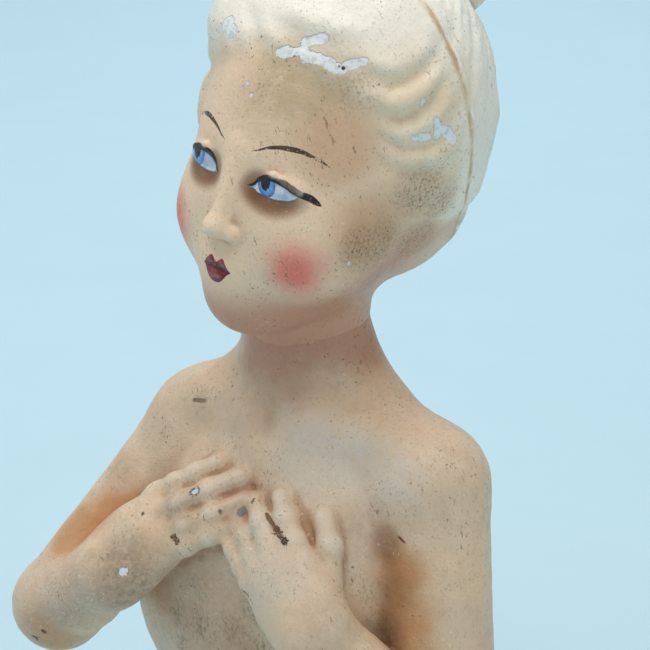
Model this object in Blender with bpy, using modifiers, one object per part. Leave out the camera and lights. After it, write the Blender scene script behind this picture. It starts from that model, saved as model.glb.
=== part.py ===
"""Painted plaster half-figure of a lady, hands on the chest: hollow plaster castings, the armature that ties
them together, and the closed base.

Run with: blender --background --python part.py
Lengths in the figure's own tables are millimetres, turned into metres as each mesh is made.
X is the figure's left, -Y its front, Z up; the origin is the middle of the face that it stands on.
"""

import math

import bmesh
import bpy
import numpy as np
from mathutils import Matrix, Vector

# ------------------------------------------------------------------ driving dimensions, mm
WALL = 5.0                       # plaster wall of the hollow castings
GAP = 0.35                       # bed of glue or slip between two castings
SEAT_GAP = 0.5                   # the same under the hands and forearms
TORSO_PARTING_Y = 5.0            # front and back torso castings meet on this plane
HEAD_PARTING_Y = 14.8            # the same for the head, in the head's own frame, through a plane that leans
HEAD_PARTING_LEAN = 12.4         # this many degrees forward at the crown
BASE_Z = 2.0                     # underside of the plaster, on the felt
BOARD_T = 5.0                    # closing board
NECK_TOP_Z = 177.0               # the neck is a spigot that runs up inside the head
ROD_R, PIN_R, BUN_PIN_R, SCREW_R = 2.0, 1.0, 1.2, 1.7

HEAD_C = np.array([5.5, 4.5, 201.0])
HEAD_YAW, HEAD_TILT = -7.0, 4.0
L_SHOULDER, L_ELBOW, L_WRIST = (37.5, 4, 121), (51, -8, 54), (28.5, -32.5, 91)
R_SHOULDER, R_ELBOW, R_WRIST = (-33.5, 3, 122), (-56.4, -30, 77), (-37.5, -33, 90.6)
# knuckles and fingertips: X, Z and how far the bone stands off the chest
R_KNUCKLES = [(-27.5, 112.0, 3.9), (-25.5, 108, 4.4), (-23.0, 103.6, 4.4), (-21.0, 99.4, 4.0)]
R_TIPS = [(-12.5, 122.2, 0.6), (-4.8, 120.4, 0.6), (-1.2, 115.8, 0.8), (-3.0, 109.8, 1.2)]
L_KNUCKLES = [(6.5, 98.5, 3.8), (10.5, 102, 4.2), (15.5, 105, 4.4), (21.5, 106.5, 4.2)]
L_TIPS = [(-4.0, 108.3, 1.0), (-1.0, 112, 0.8), (2.5, 116.0, 0.8), (8.5, 119.0, 0.6)]
L_THUMB = [(26.0, 102.5, 3.6), (25.0, 110, 2.4), (21.6, 117.0, 1.0)]


# ------------------------------------------------------------------ rounded forms and how they blend
def turn(axis, degrees):
    return np.array(Matrix.Rotation(math.radians(degrees), 3, axis))


HEAD_M = turn("Z", HEAD_YAW) @ turn("Y", HEAD_TILT)
FACE_M = turn("Z", -2.0) @ turn("Y", 4.5) @ turn("X", -3.0)
FACE_C = np.array([2.0, 8, 8.5]) - FACE_M @ np.array([0, 8, 10])


class Ball:
    """Ellipsoid: centre, radii and the rotation whose columns are its axes."""

    def __init__(self, c, r, R=None):
        self.c, self.r = np.array(c, float), np.array(r, float)
        self.R = np.eye(3) if R is None else R

    def __call__(self, p):
        q = (p - self.c) @ self.R
        k0 = np.sqrt(((q / self.r) ** 2).sum(1)) + 1e-6
        k1 = np.sqrt(((q / self.r**2) ** 2).sum(1)) + 1e-9
        return k0 * (k0 - 1) / k1

    def moved(self, C, M):
        return Ball(C + M @ self.c, self.r, M @ self.R)

    def put(self, bm):
        M = Matrix(self.R.tolist()).to_4x4() @ Matrix.Diagonal((*self.r, 1))
        bmesh.ops.create_icosphere(bm, subdivisions=4, radius=1, matrix=Matrix.Translation(self.c) @ M)


class Bar:
    """Round-ended bar from a to b, radius ra to rb."""

    def __init__(self, a, b, ra, rb=None):
        self.a, self.b, self.ra, self.rb = np.array(a, float), np.array(b, float), ra, ra if rb is None else rb

    def __call__(self, p):
        d = self.b - self.a
        h = np.clip(((p - self.a) @ d) / (d @ d), 0, 1)
        return np.linalg.norm(p - self.a - h[:, None] * d, axis=1) - (self.ra + (self.rb - self.ra) * h)

    def moved(self, C, M):
        return Bar(C + M @ self.a, C + M @ self.b, self.ra, self.rb)

    def put(self, bm):
        d = Vector(self.b - self.a)
        M = Matrix.Translation((self.a + self.b) / 2) @ d.to_track_quat("Z", "Y").to_matrix().to_4x4()
        bmesh.ops.create_cone(bm, cap_ends=True, segments=24, radius1=self.ra, radius2=self.rb, depth=d.length, matrix=M)
        for c, r in ((self.a, self.ra), (self.b, self.rb)):
            bmesh.ops.create_icosphere(bm, subdivisions=3, radius=r, matrix=Matrix.Translation(c))


def soft_min(a, b, k):
    if k <= 0:
        return np.minimum(a, b)
    h = np.maximum(k - abs(a - b), 0) / k
    return np.minimum(a, b) - h * h * k / 4


class Form:
    """Rounded forms joined with a fillet of k mm, in order, some of them cut away again."""

    def __init__(self):
        self.steps = []

    def add(self, shape, k=3.0, blank=True):
        self.steps.append(("add", shape, k, blank))

    def cut(self, shape, k=3.0):
        self.steps.append(("cut", shape, k, False))

    def shape_by(self, f):
        self.steps.append(("by", f, 0, False))

    def __call__(self, p):
        d = np.full(len(p), 1e3)
        for kind, shape, k, _ in self.steps:
            if kind == "add":
                d = soft_min(d, shape(p), k)
            elif kind == "cut":
                d = -soft_min(-d, shape(p), k)
            else:
                d = shape(d, p)
        return d


# ------------------------------------------------------------------ the figure
def trunk():
    f = Form()
    f.add(Ball((0, 3, 98), (38, 25, 42)), 0)                    # rib cage
    f.add(Ball((0, 4, 124), (34, 16, 17)), 8)                   # shoulder girdle
    f.add(Ball((-5, 2, 78), (46, 27, 37)), 8)                   # lower ribs
    f.add(Ball((-1, 3, 48), (36, 22.5, 30)), 10)                # waist
    f.add(Ball((0, 0, 12), (41, 29, 34)), 12)                   # hips
    f.add(Bar((-1, 5, 126), (-1, 4, 178), 17, 15.2), 9)          # neck
    f.add(Bar((8, 7, 144), (28, 6, 129), 9, 9), 10)             # trapezius
    f.add(Bar((-8, 7, 144), (-28, 6, 129), 9, 9), 10)
    f.add(Ball((15, -11, 102), (16, 12, 16)), 12)               # chest
    f.add(Ball((-15, -11, 102), (16, 12, 16)), 12)
    f.add(Ball(L_SHOULDER, (13.5, 14, 14)), 8)                  # shoulders
    f.add(Ball(R_SHOULDER, (13.5, 14, 14)), 8)
    f.add(Bar(L_SHOULDER, L_ELBOW, 14.3, 12.5), 4)              # upper arms
    f.add(Bar(R_SHOULDER, R_ELBOW, 13.0, 12.0), 4)
    f.add(Bar((5, -8.6, 134), (28, -3, 133), 2.0, 3), 8)        # collar bones
    f.add(Bar((-5, -8.6, 134), (-28, -3, 133), 2.0, 3), 8)
    f.cut(Ball((0, -17.0, 137), (3.6, 4, 5)), 7)                # pit of the neck
    f.cut(Bar((0, 31, 60), (0, 29, 130), 3, 3), 6)              # hollow of the spine
    return f


def trunk_hollow():
    w = WALL
    f = Form()
    f.add(Ball((0, 3, 98), (38 - w, 25 - w, 42 - w)), 0)
    f.add(Bar((-8, 5, 122), (8, 5, 122), 10.5), 6)
    f.add(Ball((-5, 2, 78), (46 - w, 27 - w, 37 - w)), 12)
    f.add(Ball((-1, 3, 48), (36 - w, 22.5 - w, 30)), 8)
    f.add(Ball((0, 0, 10), (41 - w, 29 - w, 34 - w)), 10)
    f.add(Bar((-1, 5, 118), (-1, 4, 194), 9.5, 9.0), 5)
    return f


def head():
    f = Form()
    f.add(Ball((0, 5, 6), (31.5, 37, 36)), 0)                   # skull
    for kind, shape, k in (
        ("add", Ball((0, -9, -10), (26.5, 24.5, 30)), 8),       # face
        ("add", Ball((0, -20, -31), (11, 11, 10)), 9),          # chin
        ("add", Ball((13, -19, -15), (12.5, 12, 13)), 8),       # cheeks
        ("add", Ball((-13, -19, -15), (12.5, 12, 13)), 8),
        ("add", Ball((0, -27.5, -21.5), (7.5, 6.5, 6)), 6),     # lips
        ("add", Bar((0, -31.5, 4), (0, -36.8, -10), 2.2, 2.9), 4),      # nose
        ("add", Ball((0, -36.6, -11.5), (3.4, 3.4, 2.8)), 2.5),
        ("cut", Ball((12, -38.5, 1), (7.5, 6, 4.5)), 5),        # sockets
        ("cut", Ball((-12, -38.5, 1), (7.5, 6, 4.5)), 5),
        ("add", Ball((12, -26.6, 0.5), (6.8, 5, 4.4)), 1.5),    # eyes
        ("add", Ball((-12, -26.6, 0.5), (6.8, 5, 4.4)), 1.5),
    ):
        getattr(f, kind)(shape.moved(FACE_C, FACE_M), k)        # the face leans further than the skull
    hair = Form()
    hair.add(Ball((0, 8, 10), (35, 38, 41)), 0)
    hair.add(Ball((0, 13, -13), (25, 19.2, 19.8)), 12)
    hair.add(Ball((-19.5, -10.5, 30), (8.5, 8.5, 10)), 8)       # puff over the right temple
    lock = Ball((-27.3, -11.6, 8), (4, 5, 9))
    line_z = [-45, -35, -25, -10, 0, 10, 20, 30, 40, 60]
    line_y = [14, 6, -2, -8, -11, -14, -19, -27, -40, -60]

    def with_hair(d, p):
        h = hair(p)
        h = -soft_min(-h, -(np.interp(p[:, 2], line_z, line_y) - p[:, 1]) * 0.8, 4)
        return soft_min(d, soft_min(h, lock(p), 3), 1.5)

    f.shape_by(with_hair)
    return f


def head_hollow():
    f = Form()
    f.add(Ball((0, 6, 7), (31.5 - WALL, 36 - WALL, 36 - WALL)), 0)
    f.add(Ball((0, -8, -10), (20, 19, 24)), 6)
    f.add(Bar((-3, 0, -28), (-3, 0, -12), 10.5), 4)
    return f


def bun():
    f = Form()
    f.add(Ball((0, 34, 42), (18, 15, 13)), 0)
    return f


def on_chest(chest, x, z, off):
    """The point in front of the chest at x, z that stands off from its surface."""
    y = -70.0
    for _ in range(60):
        d = chest(np.array([[x, y, z]]))[0] - off
        if d < 0.02:
            break
        y += d * 0.9
    return np.array([x, y, z])


def forearm(chest, elbow, wrist, slim, knuckles, tips, thick, thumb=None):
    f = Form()
    E, W = np.array(elbow, float), np.array(wrist, float)
    kn = [on_chest(chest, *k) for k in knuckles]
    M = E + (W - E) * 0.45
    f.add(Bar(E, M, 12.0, 10.3), 0)
    f.add(Bar(M, W, 10.3, slim), 4)
    ax = (kn[1] + kn[2]) / 2 - W
    L = np.linalg.norm(ax)
    u = ax / L
    v = kn[0] - kn[3]
    v = v - u * (v @ u)
    v /= np.linalg.norm(v)
    f.add(Ball(W + ax * 0.5, (L * 0.72, 11.2, 6.4), np.stack([u, v, np.cross(u, v)], 1)), 6)
    for i in range(4):
        a = kn[i]
        bones = [W + (a - W) * 0.55, a]
        for t in (0.35, 0.7, 1.0):
            at = [p + (q - p) * t for p, q in zip(knuckles[i], tips[i])]
            bones.append(on_chest(chest, *at))
        radii = [thick[i], thick[i] + 0.3, thick[i], thick[i] - 0.1, thick[i] - 0.5]
        for j in range(4):
            f.add(Bar(bones[j], bones[j + 1], radii[j], radii[j + 1]), 1.6 if j else 3)
    if thumb:
        t0, t1, t2 = [on_chest(chest, *t) for t in thumb]
        f.add(Bar(W + (t0 - W) * 0.3, t0, 4.5, 3.6), 4)
        f.add(Bar(t0, t1, 3.6, 3.1), 1.6)
        f.add(Bar(t1, t2, 3.1, 2.5), 1.6)
    return f


# ------------------------------------------------------------------ Blender side
MM = 0.001
for old in list(bpy.data.objects):
    bpy.data.objects.remove(old)
parts = bpy.data.collections.new("plaster_half_figure")
tools = bpy.data.collections.new("cutters")
for c in (parts, tools):
    bpy.context.scene.collection.children.link(c)


def material(name, rgb, rough, metal=0.0):
    m = bpy.data.materials.new(name)
    m.use_nodes = True
    b = m.node_tree.nodes["Principled BSDF"]
    b.inputs["Base Color"].default_value = (*rgb, 1)
    b.inputs["Roughness"].default_value = rough
    b.inputs["Metallic"].default_value = metal
    return m


SKIN = material("painted_plaster_skin", (0.66, 0.45, 0.31), 0.55)
HAIR = material("painted_plaster_hair", (0.74, 0.62, 0.42), 0.6)
PLASTER = material("bare_plaster", (0.8, 0.78, 0.74), 0.9)
SCRIM = material("hessian_scrim", (0.42, 0.33, 0.2), 0.95)
WOOD = material("pine_board", (0.45, 0.29, 0.14), 0.7)
STEEL = material("steel_wire", (0.3, 0.29, 0.28), 0.45, 1.0)
FELT = material("green_felt", (0.06, 0.14, 0.08), 0.95)


def as_object(name, mesh, coll=tools):
    o = bpy.data.objects.new(name, mesh)
    coll.objects.link(o)
    if coll is tools:
        o.hide_render = True
        o.display_type = "WIRE"
    return o


def evaluated(o):
    """The object's mesh with its modifiers worked out, as a new mesh."""
    bpy.context.view_layer.update()
    graph = bpy.context.evaluated_depsgraph_get()
    return bpy.data.meshes.new_from_object(o.evaluated_get(graph), depsgraph=graph)


def points_of(mesh):
    p = np.empty(len(mesh.vertices) * 3, np.float32)
    mesh.vertices.foreach_get("co", p)
    return p.reshape(-1, 3).astype(float) / MM


def set_points(mesh, p):
    mesh.vertices.foreach_set("co", (p * MM).astype(np.float32).ravel())
    mesh.update()


def modelled(name, form, voxel, triangles, place=None):
    """A closed mesh of the form: its rounded pieces joined by a voxel remesh, its points drawn on to the blended
    surface, then thinned to the number of triangles."""
    bm = bmesh.new()
    for kind, shape, _, blank in form.steps:
        if kind == "add" and blank:
            shape.put(bm)
    bmesh.ops.scale(bm, vec=(MM, MM, MM), verts=bm.verts)
    mesh = bpy.data.meshes.new(name)
    bm.to_mesh(mesh)
    bm.free()
    o = as_object(name, mesh)
    m = o.modifiers.new("join", "REMESH")
    m.mode, m.voxel_size = "VOXEL", voxel * MM
    o.data = evaluated(o)
    o.modifiers.clear()
    mesh = o.data
    p = points_of(mesh)
    edges = np.empty(len(mesh.edges) * 2, np.int32)
    mesh.edges.foreach_get("vertices", edges)
    edges = edges.reshape(-1, 2)
    n = np.bincount(edges.ravel(), minlength=len(p))[:, None]
    for _ in range(7):
        near = np.zeros_like(p)
        for ax in range(3):
            near[:, ax] = np.bincount(edges[:, 0], p[edges[:, 1], ax], len(p)) + np.bincount(edges[:, 1], p[edges[:, 0], ax], len(p))
        p = 0.6 * p + 0.4 * near / n
        for _ in range(2):
            d = form(p)
            g = np.stack([form(p + e) - form(p - e) for e in np.eye(3) * 0.15], 1) / 0.3
            step = (d / np.maximum((g * g).sum(1), 0.2))[:, None] * g
            far = np.linalg.norm(step, axis=1, keepdims=True)
            p = p - step * np.minimum(1, 1.5 / np.maximum(far, 1e-9))
    if place is not None:
        p = p @ place[1].T + place[0]
    set_points(mesh, p)
    m = o.modifiers.new("thin", "DECIMATE")
    m.ratio = min(1.0, triangles / (2 * len(mesh.polygons)))
    o.data = evaluated(o)
    o.modifiers.clear()
    return o


def grown(o, by, name):
    """A copy with its surface moved out by that many millimetres, facet for facet."""
    mesh = o.data.copy()
    p = points_of(mesh)
    nrm = np.empty(len(p) * 3, np.float32)
    mesh.vertices.foreach_get("normal", nrm)
    set_points(mesh, p + nrm.reshape(-1, 3) * by)
    return as_object(name, mesh)


def block(lo, hi, name="block", place=None):
    bm = bmesh.new()
    lo, hi = np.array(lo, float), np.array(hi, float)
    M = Matrix.Translation((lo + hi) / 2) @ Matrix.Diagonal((*(hi - lo), 1))
    if place is not None:
        M = Matrix.Translation(place[0]) @ Matrix(place[1].tolist()).to_4x4() @ M
    bmesh.ops.create_cube(bm, size=1, matrix=Matrix.Scale(MM, 4) @ M)
    mesh = bpy.data.meshes.new(name)
    bm.to_mesh(mesh)
    bm.free()
    return as_object(name, mesh)


def round_bar(a, b, ra, rb=None, sides=20, name="bar"):
    a, b = Vector(a), Vector(b)
    bm = bmesh.new()
    M = Matrix.Translation((a + b) / 2) @ (b - a).to_track_quat("Z", "Y").to_matrix().to_4x4()
    bmesh.ops.create_cone(bm, cap_ends=True, segments=sides, radius1=ra, radius2=ra if rb is None else rb,
                          depth=(b - a).length, matrix=Matrix.Scale(MM, 4) @ M)
    mesh = bpy.data.meshes.new(name)
    bm.to_mesh(mesh)
    bm.free()
    return as_object(name, mesh)


def booleans(o, *steps):
    """Cuts, joins or intersects o with the tools in turn, and keeps the result as its mesh."""
    for how, tool in steps:
        m = o.modifiers.new("bool", "BOOLEAN")
        m.operation, m.solver, m.object, m.use_self = how, "EXACT", tool, "seat" in tool.name
        o.data = evaluated(o)
        o.modifiers.clear()
    return o


def largest_body(o):
    """Drops crumbs that a cut has left loose, and welds doubled points."""
    bm = bmesh.new()
    bm.from_mesh(o.data)
    bmesh.ops.remove_doubles(bm, verts=bm.verts, dist=0.000002)
    left, bodies = set(bm.verts), []
    while left:
        seed = left.pop()
        body, edge = {seed}, [seed]
        while edge:
            v = edge.pop()
            for e in v.link_edges:
                w = e.other_vert(v)
                if w not in body:
                    body.add(w)
                    edge.append(w)
        left -= body
        bodies.append(body)
    bodies.sort(key=len)
    bmesh.ops.delete(bm, geom=[v for b in bodies[:-1] for v in b], context="VERTS")
    bm.to_mesh(o.data)
    bm.free()


def copy_of(o, name):
    return as_object(name, o.data.copy())


def finish(o, name, mat, smooth=40):
    """Moves the object to the parts collection under its node name."""
    largest_body(o)
    tools.objects.unlink(o)
    parts.objects.link(o)
    o.name = name
    o.hide_render = False
    o.display_type = "TEXTURED"
    o.data.materials.clear()
    o.data.materials.append(mat)
    o.data.shade_smooth()
    o.data.set_sharp_from_angle(angle=math.radians(smooth))
    return o


CUT, BOTH, JOIN = "DIFFERENCE", "INTERSECT", "UNION"
BIG = 200
head_place = (HEAD_C, HEAD_M)
in_head = lambda p: HEAD_C + HEAD_M @ np.array(p, float)

# ---- solid forms
chest = trunk()
torso = modelled("torso_form", chest, 2.5, 2800)
hollow = modelled("torso_hollow_form", trunk_hollow(), 3.5, 800)
skull = modelled("head_form", head(), 1.9, 2500, head_place)
skull_hollow = modelled("head_hollow_form", head_hollow(), 3.0, 500, head_place)
knot = modelled("bun_form", bun(), 2.2, 360, head_place)
arms, seats, bend = {}, {}, {}
for side, shoulder, elbow, wrist, slim, knuckles, tips, thick, thumb in (
    ("right", R_SHOULDER, R_ELBOW, R_WRIST, 9.3, R_KNUCKLES, R_TIPS, [2.9, 3.0, 2.9, 2.6], None),
    ("left", L_SHOULDER, L_ELBOW, L_WRIST, 9.2, L_KNUCKLES, L_TIPS, [2.6, 2.9, 3.0, 2.9], L_THUMB),
):
    arms[side] = modelled(side + "_forearm_form", forearm(chest, elbow, wrist, slim, knuckles, tips, thick, thumb), 1.55, 1600)
    E, W, S = (np.array(q, float) for q in (elbow, wrist, shoulder))
    fore, upper = (W - E) / np.linalg.norm(W - E), (S - E) / np.linalg.norm(S - E)
    n = (fore - upper) / np.linalg.norm(fore - upper)
    b = (fore + upper) / np.linalg.norm(fore + upper)
    bend[side] = (E, n, b)
    # the arm is cast in two lengths that meet on a mitre through the bend of the elbow
    frame = np.stack([b, np.cross(n, b), n], 1)
    seats[side] = booleans(grown(arms[side], SEAT_GAP, side + "_seat"),
                           (BOTH, block((-BIG, -BIG, -GAP / 2), (BIG, BIG, BIG), side + "_seat_mitre", (E, frame))))
    booleans(arms[side], (BOTH, block((-BIG, -BIG, GAP / 2), (BIG, BIG, BIG), side + "_mitre", (E, frame))))
booleans(arms["left"], (CUT, seats["right"]))

# ---- torso: seats for the forearms and hands, flat foot, neck cut level, hollow inside
torso_solid = booleans(
    copy_of(torso, "torso_solid"),
    (CUT, seats["right"]),
    (CUT, seats["left"]),
    (BOTH, block((-BIG, -BIG, BASE_Z), (BIG, BIG, NECK_TOP_Z), "torso_length")),
)
largest_body(torso_solid)
torso_shell = booleans(copy_of(torso_solid, "torso_shell"), (CUT, hollow))
y0 = TORSO_PARTING_Y
torso_front = booleans(copy_of(torso_shell, "torso_front"), (BOTH, block((-BIG, -BIG, -BIG), (BIG, y0 - GAP / 2, BIG), "front_half")))
torso_back = booleans(copy_of(torso_shell, "torso_back"), (BOTH, block((-BIG, y0 + GAP / 2, -BIG), (BIG, BIG, BIG), "back_half")))

# ---- elbow wires, bedded across the mitre in blind holes
for side, (E, n, b) in bend.items():
    mid = E + b * 10
    hole = round_bar(mid - n * 9.6, mid + n * 9.6, PIN_R + 0.35, sides=12, name=side + "_wire_hole")
    booleans(torso_front, (CUT, hole))
    booleans(arms[side], (CUT, hole))
    finish(round_bar(mid - n * 9, mid + n * 9, PIN_R, sides=12), side + "_elbow_wire", STEEL)

# ---- head: a socket over the neck, hollow, parted behind the ears
head_solid = booleans(copy_of(skull, "head_solid"), (CUT, grown(torso_solid, 0.4, "neck_socket")))
head_shell = booleans(copy_of(head_solid, "head_shell"), (CUT, skull_hollow))
parting = (in_head((0, HEAD_PARTING_Y, 0)), HEAD_M @ turn("X", HEAD_PARTING_LEAN))
head_front = booleans(copy_of(head_shell, "head_front"), (BOTH, block((-BIG, -BIG, -BIG), (BIG, -GAP / 2, BIG), "face_half", parting)))
head_back = booleans(copy_of(head_shell, "head_back"), (BOTH, block((-BIG, GAP / 2, -BIG), (BIG, BIG, BIG), "nape_half", parting)))

# ---- bun, with its wire
knot = booleans(knot, (CUT, grown(skull, GAP, "bun_seat")))
along = np.array([0, 0.63, 0.777])
at = lambda t: in_head(np.array([0, 8, 10]) + along * t)
hole = round_bar(at(33.4), at(52.6), BUN_PIN_R + 0.35, sides=12, name="bun_wire_hole")
booleans(head_back, (CUT, hole))
booleans(knot, (CUT, hole))
finish(round_bar(at(34), at(52), BUN_PIN_R, sides=12), "bun_wire", STEEL)

for o, name, mat in (
    (torso_front, "torso_front_casting", SKIN), (torso_back, "torso_back_casting", SKIN),
    (arms["right"], "right_forearm_casting", SKIN), (arms["left"], "left_forearm_casting", SKIN),
    (head_front, "head_front_casting", SKIN), (head_back, "head_back_casting", HAIR), (knot, "hair_bun_casting", HAIR),
):
    finish(o, name, mat)

# ---- inside the neck: a rod set in a plug of plaster
inner = grown(hollow, -GAP, "torso_lining")
plug = booleans(copy_of(inner, "plug"), (BOTH, block((-30, -30, 150), (30, 40, 167), "plug_length")),
                (CUT, round_bar((-1, 4.6, 140), (-1, 4.6, 180), ROD_R + 0.35, sides=20, name="rod_hole")))
finish(plug, "neck_plaster_plug", PLASTER)
finish(round_bar((-1, 4.6, 116), (-1, 4.6, 197), ROD_R, sides=20), "neck_rod", STEEL)

# ---- strips of scrim over the seams, inside
skin_in = grown(hollow, -GAP - 1.1, "torso_lining_inside")
strip = booleans(copy_of(inner, "strip"), (CUT, skin_in))
for side, x0, x1 in (("left", 2, BIG), ("right", -BIG, -2)):
    s = booleans(copy_of(strip, side + "_strip"), (BOTH, block((x0, y0 - 7, 26), (x1, y0 + 7, 112), side + "_strip_cut")))
    finish(s, "torso_seam_scrim_" + side, SCRIM)
ring = booleans(grown(skull_hollow, -GAP, "head_lining"), (CUT, grown(skull_hollow, -GAP - 1.1, "head_lining_inside")),
                (BOTH, block((-60, -6, -16), (60, 5, 60), "ring_cut", parting)))
finish(ring, "head_seam_scrim", SCRIM)

# ---- closed base: board and screws into two blocks glued inside the wall, felt underneath
board = booleans(copy_of(inner, "board"), (BOTH, block((-60, -60, BASE_Z + 0.2), (60, 60, BASE_Z + 0.2 + BOARD_T), "board_slab")))
z1 = BASE_Z + 0.2 + BOARD_T + GAP
for side, sx in (("left", 1), ("right", -1)):
    x = sorted((sx * 16, sx * 60))
    blk = booleans(copy_of(inner, side + "_block"), (BOTH, block((x[0], -9, z1), (x[1], 9, z1 + 14), side + "_block_cut")))
    c = sx * 23.5
    shaft = round_bar((c, 0, 0), (c, 0, z1 + 11), SCREW_R + 0.35, sides=16, name=side + "_screw_hole")
    sink = round_bar((c, 0, BASE_Z - 0.4), (c, 0, BASE_Z + 3.6), 5.0, SCREW_R + 0.1, sides=16, name=side + "_countersink")
    booleans(board, (CUT, shaft), (CUT, sink))
    booleans(blk, (CUT, shaft))
    finish(blk, "fixing_block_" + side, WOOD)
    screw = round_bar((c, 0, BASE_Z + 0.9), (c, 0, z1 + 10.4), SCREW_R, sides=16, name=side + "_screw")
    booleans(screw, (JOIN, round_bar((c, 0, BASE_Z + 0.5), (c, 0, BASE_Z + 2.9), 3.6, SCREW_R - 0.1, sides=16, name=side + "_screw_head")),
             (CUT, block((c - 3, -0.45, 0), (c + 3, 0.45, BASE_Z + 1.3), side + "_slot")))
    finish(screw, "base_screw_" + side, STEEL)
finish(board, "base_board", WOOD)
felt = booleans(grown(torso, -0.6, "felt"), (BOTH, block((-60, -60, 0), (60, 60, BASE_Z - 0.3), "felt_slab")))
finish(felt, "base_felt", FELT)
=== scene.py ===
"""Looks of the painted plaster half-figure: fine surfaces for its castings, paint, dirt and chips, and the studio."""
import math

import bpy
import numpy as np
from mathutils import Matrix, Vector


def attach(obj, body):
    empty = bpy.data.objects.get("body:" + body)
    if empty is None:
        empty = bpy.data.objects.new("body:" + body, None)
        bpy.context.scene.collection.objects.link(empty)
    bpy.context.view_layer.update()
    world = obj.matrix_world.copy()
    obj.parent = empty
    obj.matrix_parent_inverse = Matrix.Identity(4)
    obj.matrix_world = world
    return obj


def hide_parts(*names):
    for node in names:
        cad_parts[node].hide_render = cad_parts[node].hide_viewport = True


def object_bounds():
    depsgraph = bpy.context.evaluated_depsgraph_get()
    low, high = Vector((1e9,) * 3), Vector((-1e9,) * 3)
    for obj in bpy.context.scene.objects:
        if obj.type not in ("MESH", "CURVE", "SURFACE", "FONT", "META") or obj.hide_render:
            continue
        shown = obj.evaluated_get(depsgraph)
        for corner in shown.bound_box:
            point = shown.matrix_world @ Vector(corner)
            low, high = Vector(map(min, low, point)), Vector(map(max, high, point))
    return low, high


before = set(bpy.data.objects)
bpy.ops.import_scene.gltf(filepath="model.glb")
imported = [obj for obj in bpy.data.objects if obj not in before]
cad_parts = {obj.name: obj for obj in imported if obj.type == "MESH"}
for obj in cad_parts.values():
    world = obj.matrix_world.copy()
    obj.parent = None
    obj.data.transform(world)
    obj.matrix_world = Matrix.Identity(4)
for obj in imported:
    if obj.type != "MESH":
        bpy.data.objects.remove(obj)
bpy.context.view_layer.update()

BASE_Z = 2.0
TORSO_PARTING_Y = 5.0
HEAD_PARTING_Y, HEAD_LEAN = 14.8, 12.4
# chips in the paint of the head, in its own frame: place, radius, depth
HEAD_CHIPS = []


# ---------------------------------------------------------------- turns and rounded forms
F = np.float32


def turn(axis, deg):
    return np.array(Matrix.Rotation(math.radians(deg), 3, axis))


class Ell:
    """Ellipsoid: centre, radii, rotation whose columns are its axes."""

    def __init__(s, c, r, R=None):
        s.c, s.r, s.R = np.array(c, float), np.array(r, float), np.eye(3) if R is None else np.array(R, float)

    def moved(s, C, M):
        return Ell(np.array(C) + M @ s.c, s.r, M @ s.R)

    def box(s):
        e = np.sqrt(((s.R * s.r) ** 2).sum(1))
        return s.c - e, s.c + e

    def __call__(s, x, y, z):
        x, y, z = x - F(s.c[0]), y - F(s.c[1]), z - F(s.c[2])
        R, r = s.R.astype(F), s.r.astype(F)
        u = x * R[0, 0] + y * R[1, 0] + z * R[2, 0]
        v = x * R[0, 1] + y * R[1, 1] + z * R[2, 1]
        w = x * R[0, 2] + y * R[1, 2] + z * R[2, 2]
        k0 = np.sqrt((u / r[0]) ** 2 + (v / r[1]) ** 2 + (w / r[2]) ** 2) + F(1e-6)
        k1 = np.sqrt((u / r[0] ** 2) ** 2 + (v / r[1] ** 2) ** 2 + (w / r[2] ** 2) ** 2) + F(1e-9)
        return k0 * (k0 - 1) / k1


class Cap:
    """Round-ended bar from a to b, radius ra to rb."""

    def __init__(s, a, b, ra, rb=None):
        s.a, s.b, s.ra, s.rb = np.array(a, float), np.array(b, float), float(ra), float(ra if rb is None else rb)

    def moved(s, C, M):
        return Cap(np.array(C) + M @ s.a, np.array(C) + M @ s.b, s.ra, s.rb)

    def box(s):
        return np.minimum(s.a - s.ra, s.b - s.rb), np.maximum(s.a + s.ra, s.b + s.rb)

    def __call__(s, x, y, z):
        a, d = s.a.astype(F), (s.b - s.a).astype(F)
        x, y, z = x - a[0], y - a[1], z - a[2]
        h = np.clip((x * d[0] + y * d[1] + z * d[2]) / F((d * d).sum()), 0, 1)
        return np.sqrt((x - h * d[0]) ** 2 + (y - h * d[1]) ** 2 + (z - h * d[2]) ** 2) - (F(s.ra) + F(s.rb - s.ra) * h)


def smin(a, b, k):
    if k <= 0:
        return np.minimum(a, b)
    h = np.maximum(F(k) - np.abs(a - b), 0) / F(k)
    return np.minimum(a, b) - h * h * F(k) * F(0.25)


def smin_by(a, b, k):
    """smin with a fillet that changes from place to place."""
    h = np.maximum(k - np.abs(a - b), 0) / k
    return (np.minimum(a, b) - h * h * k * 0.25).astype(F)


def smax(a, b, k):
    return -smin(-a, -b, k)


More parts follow.
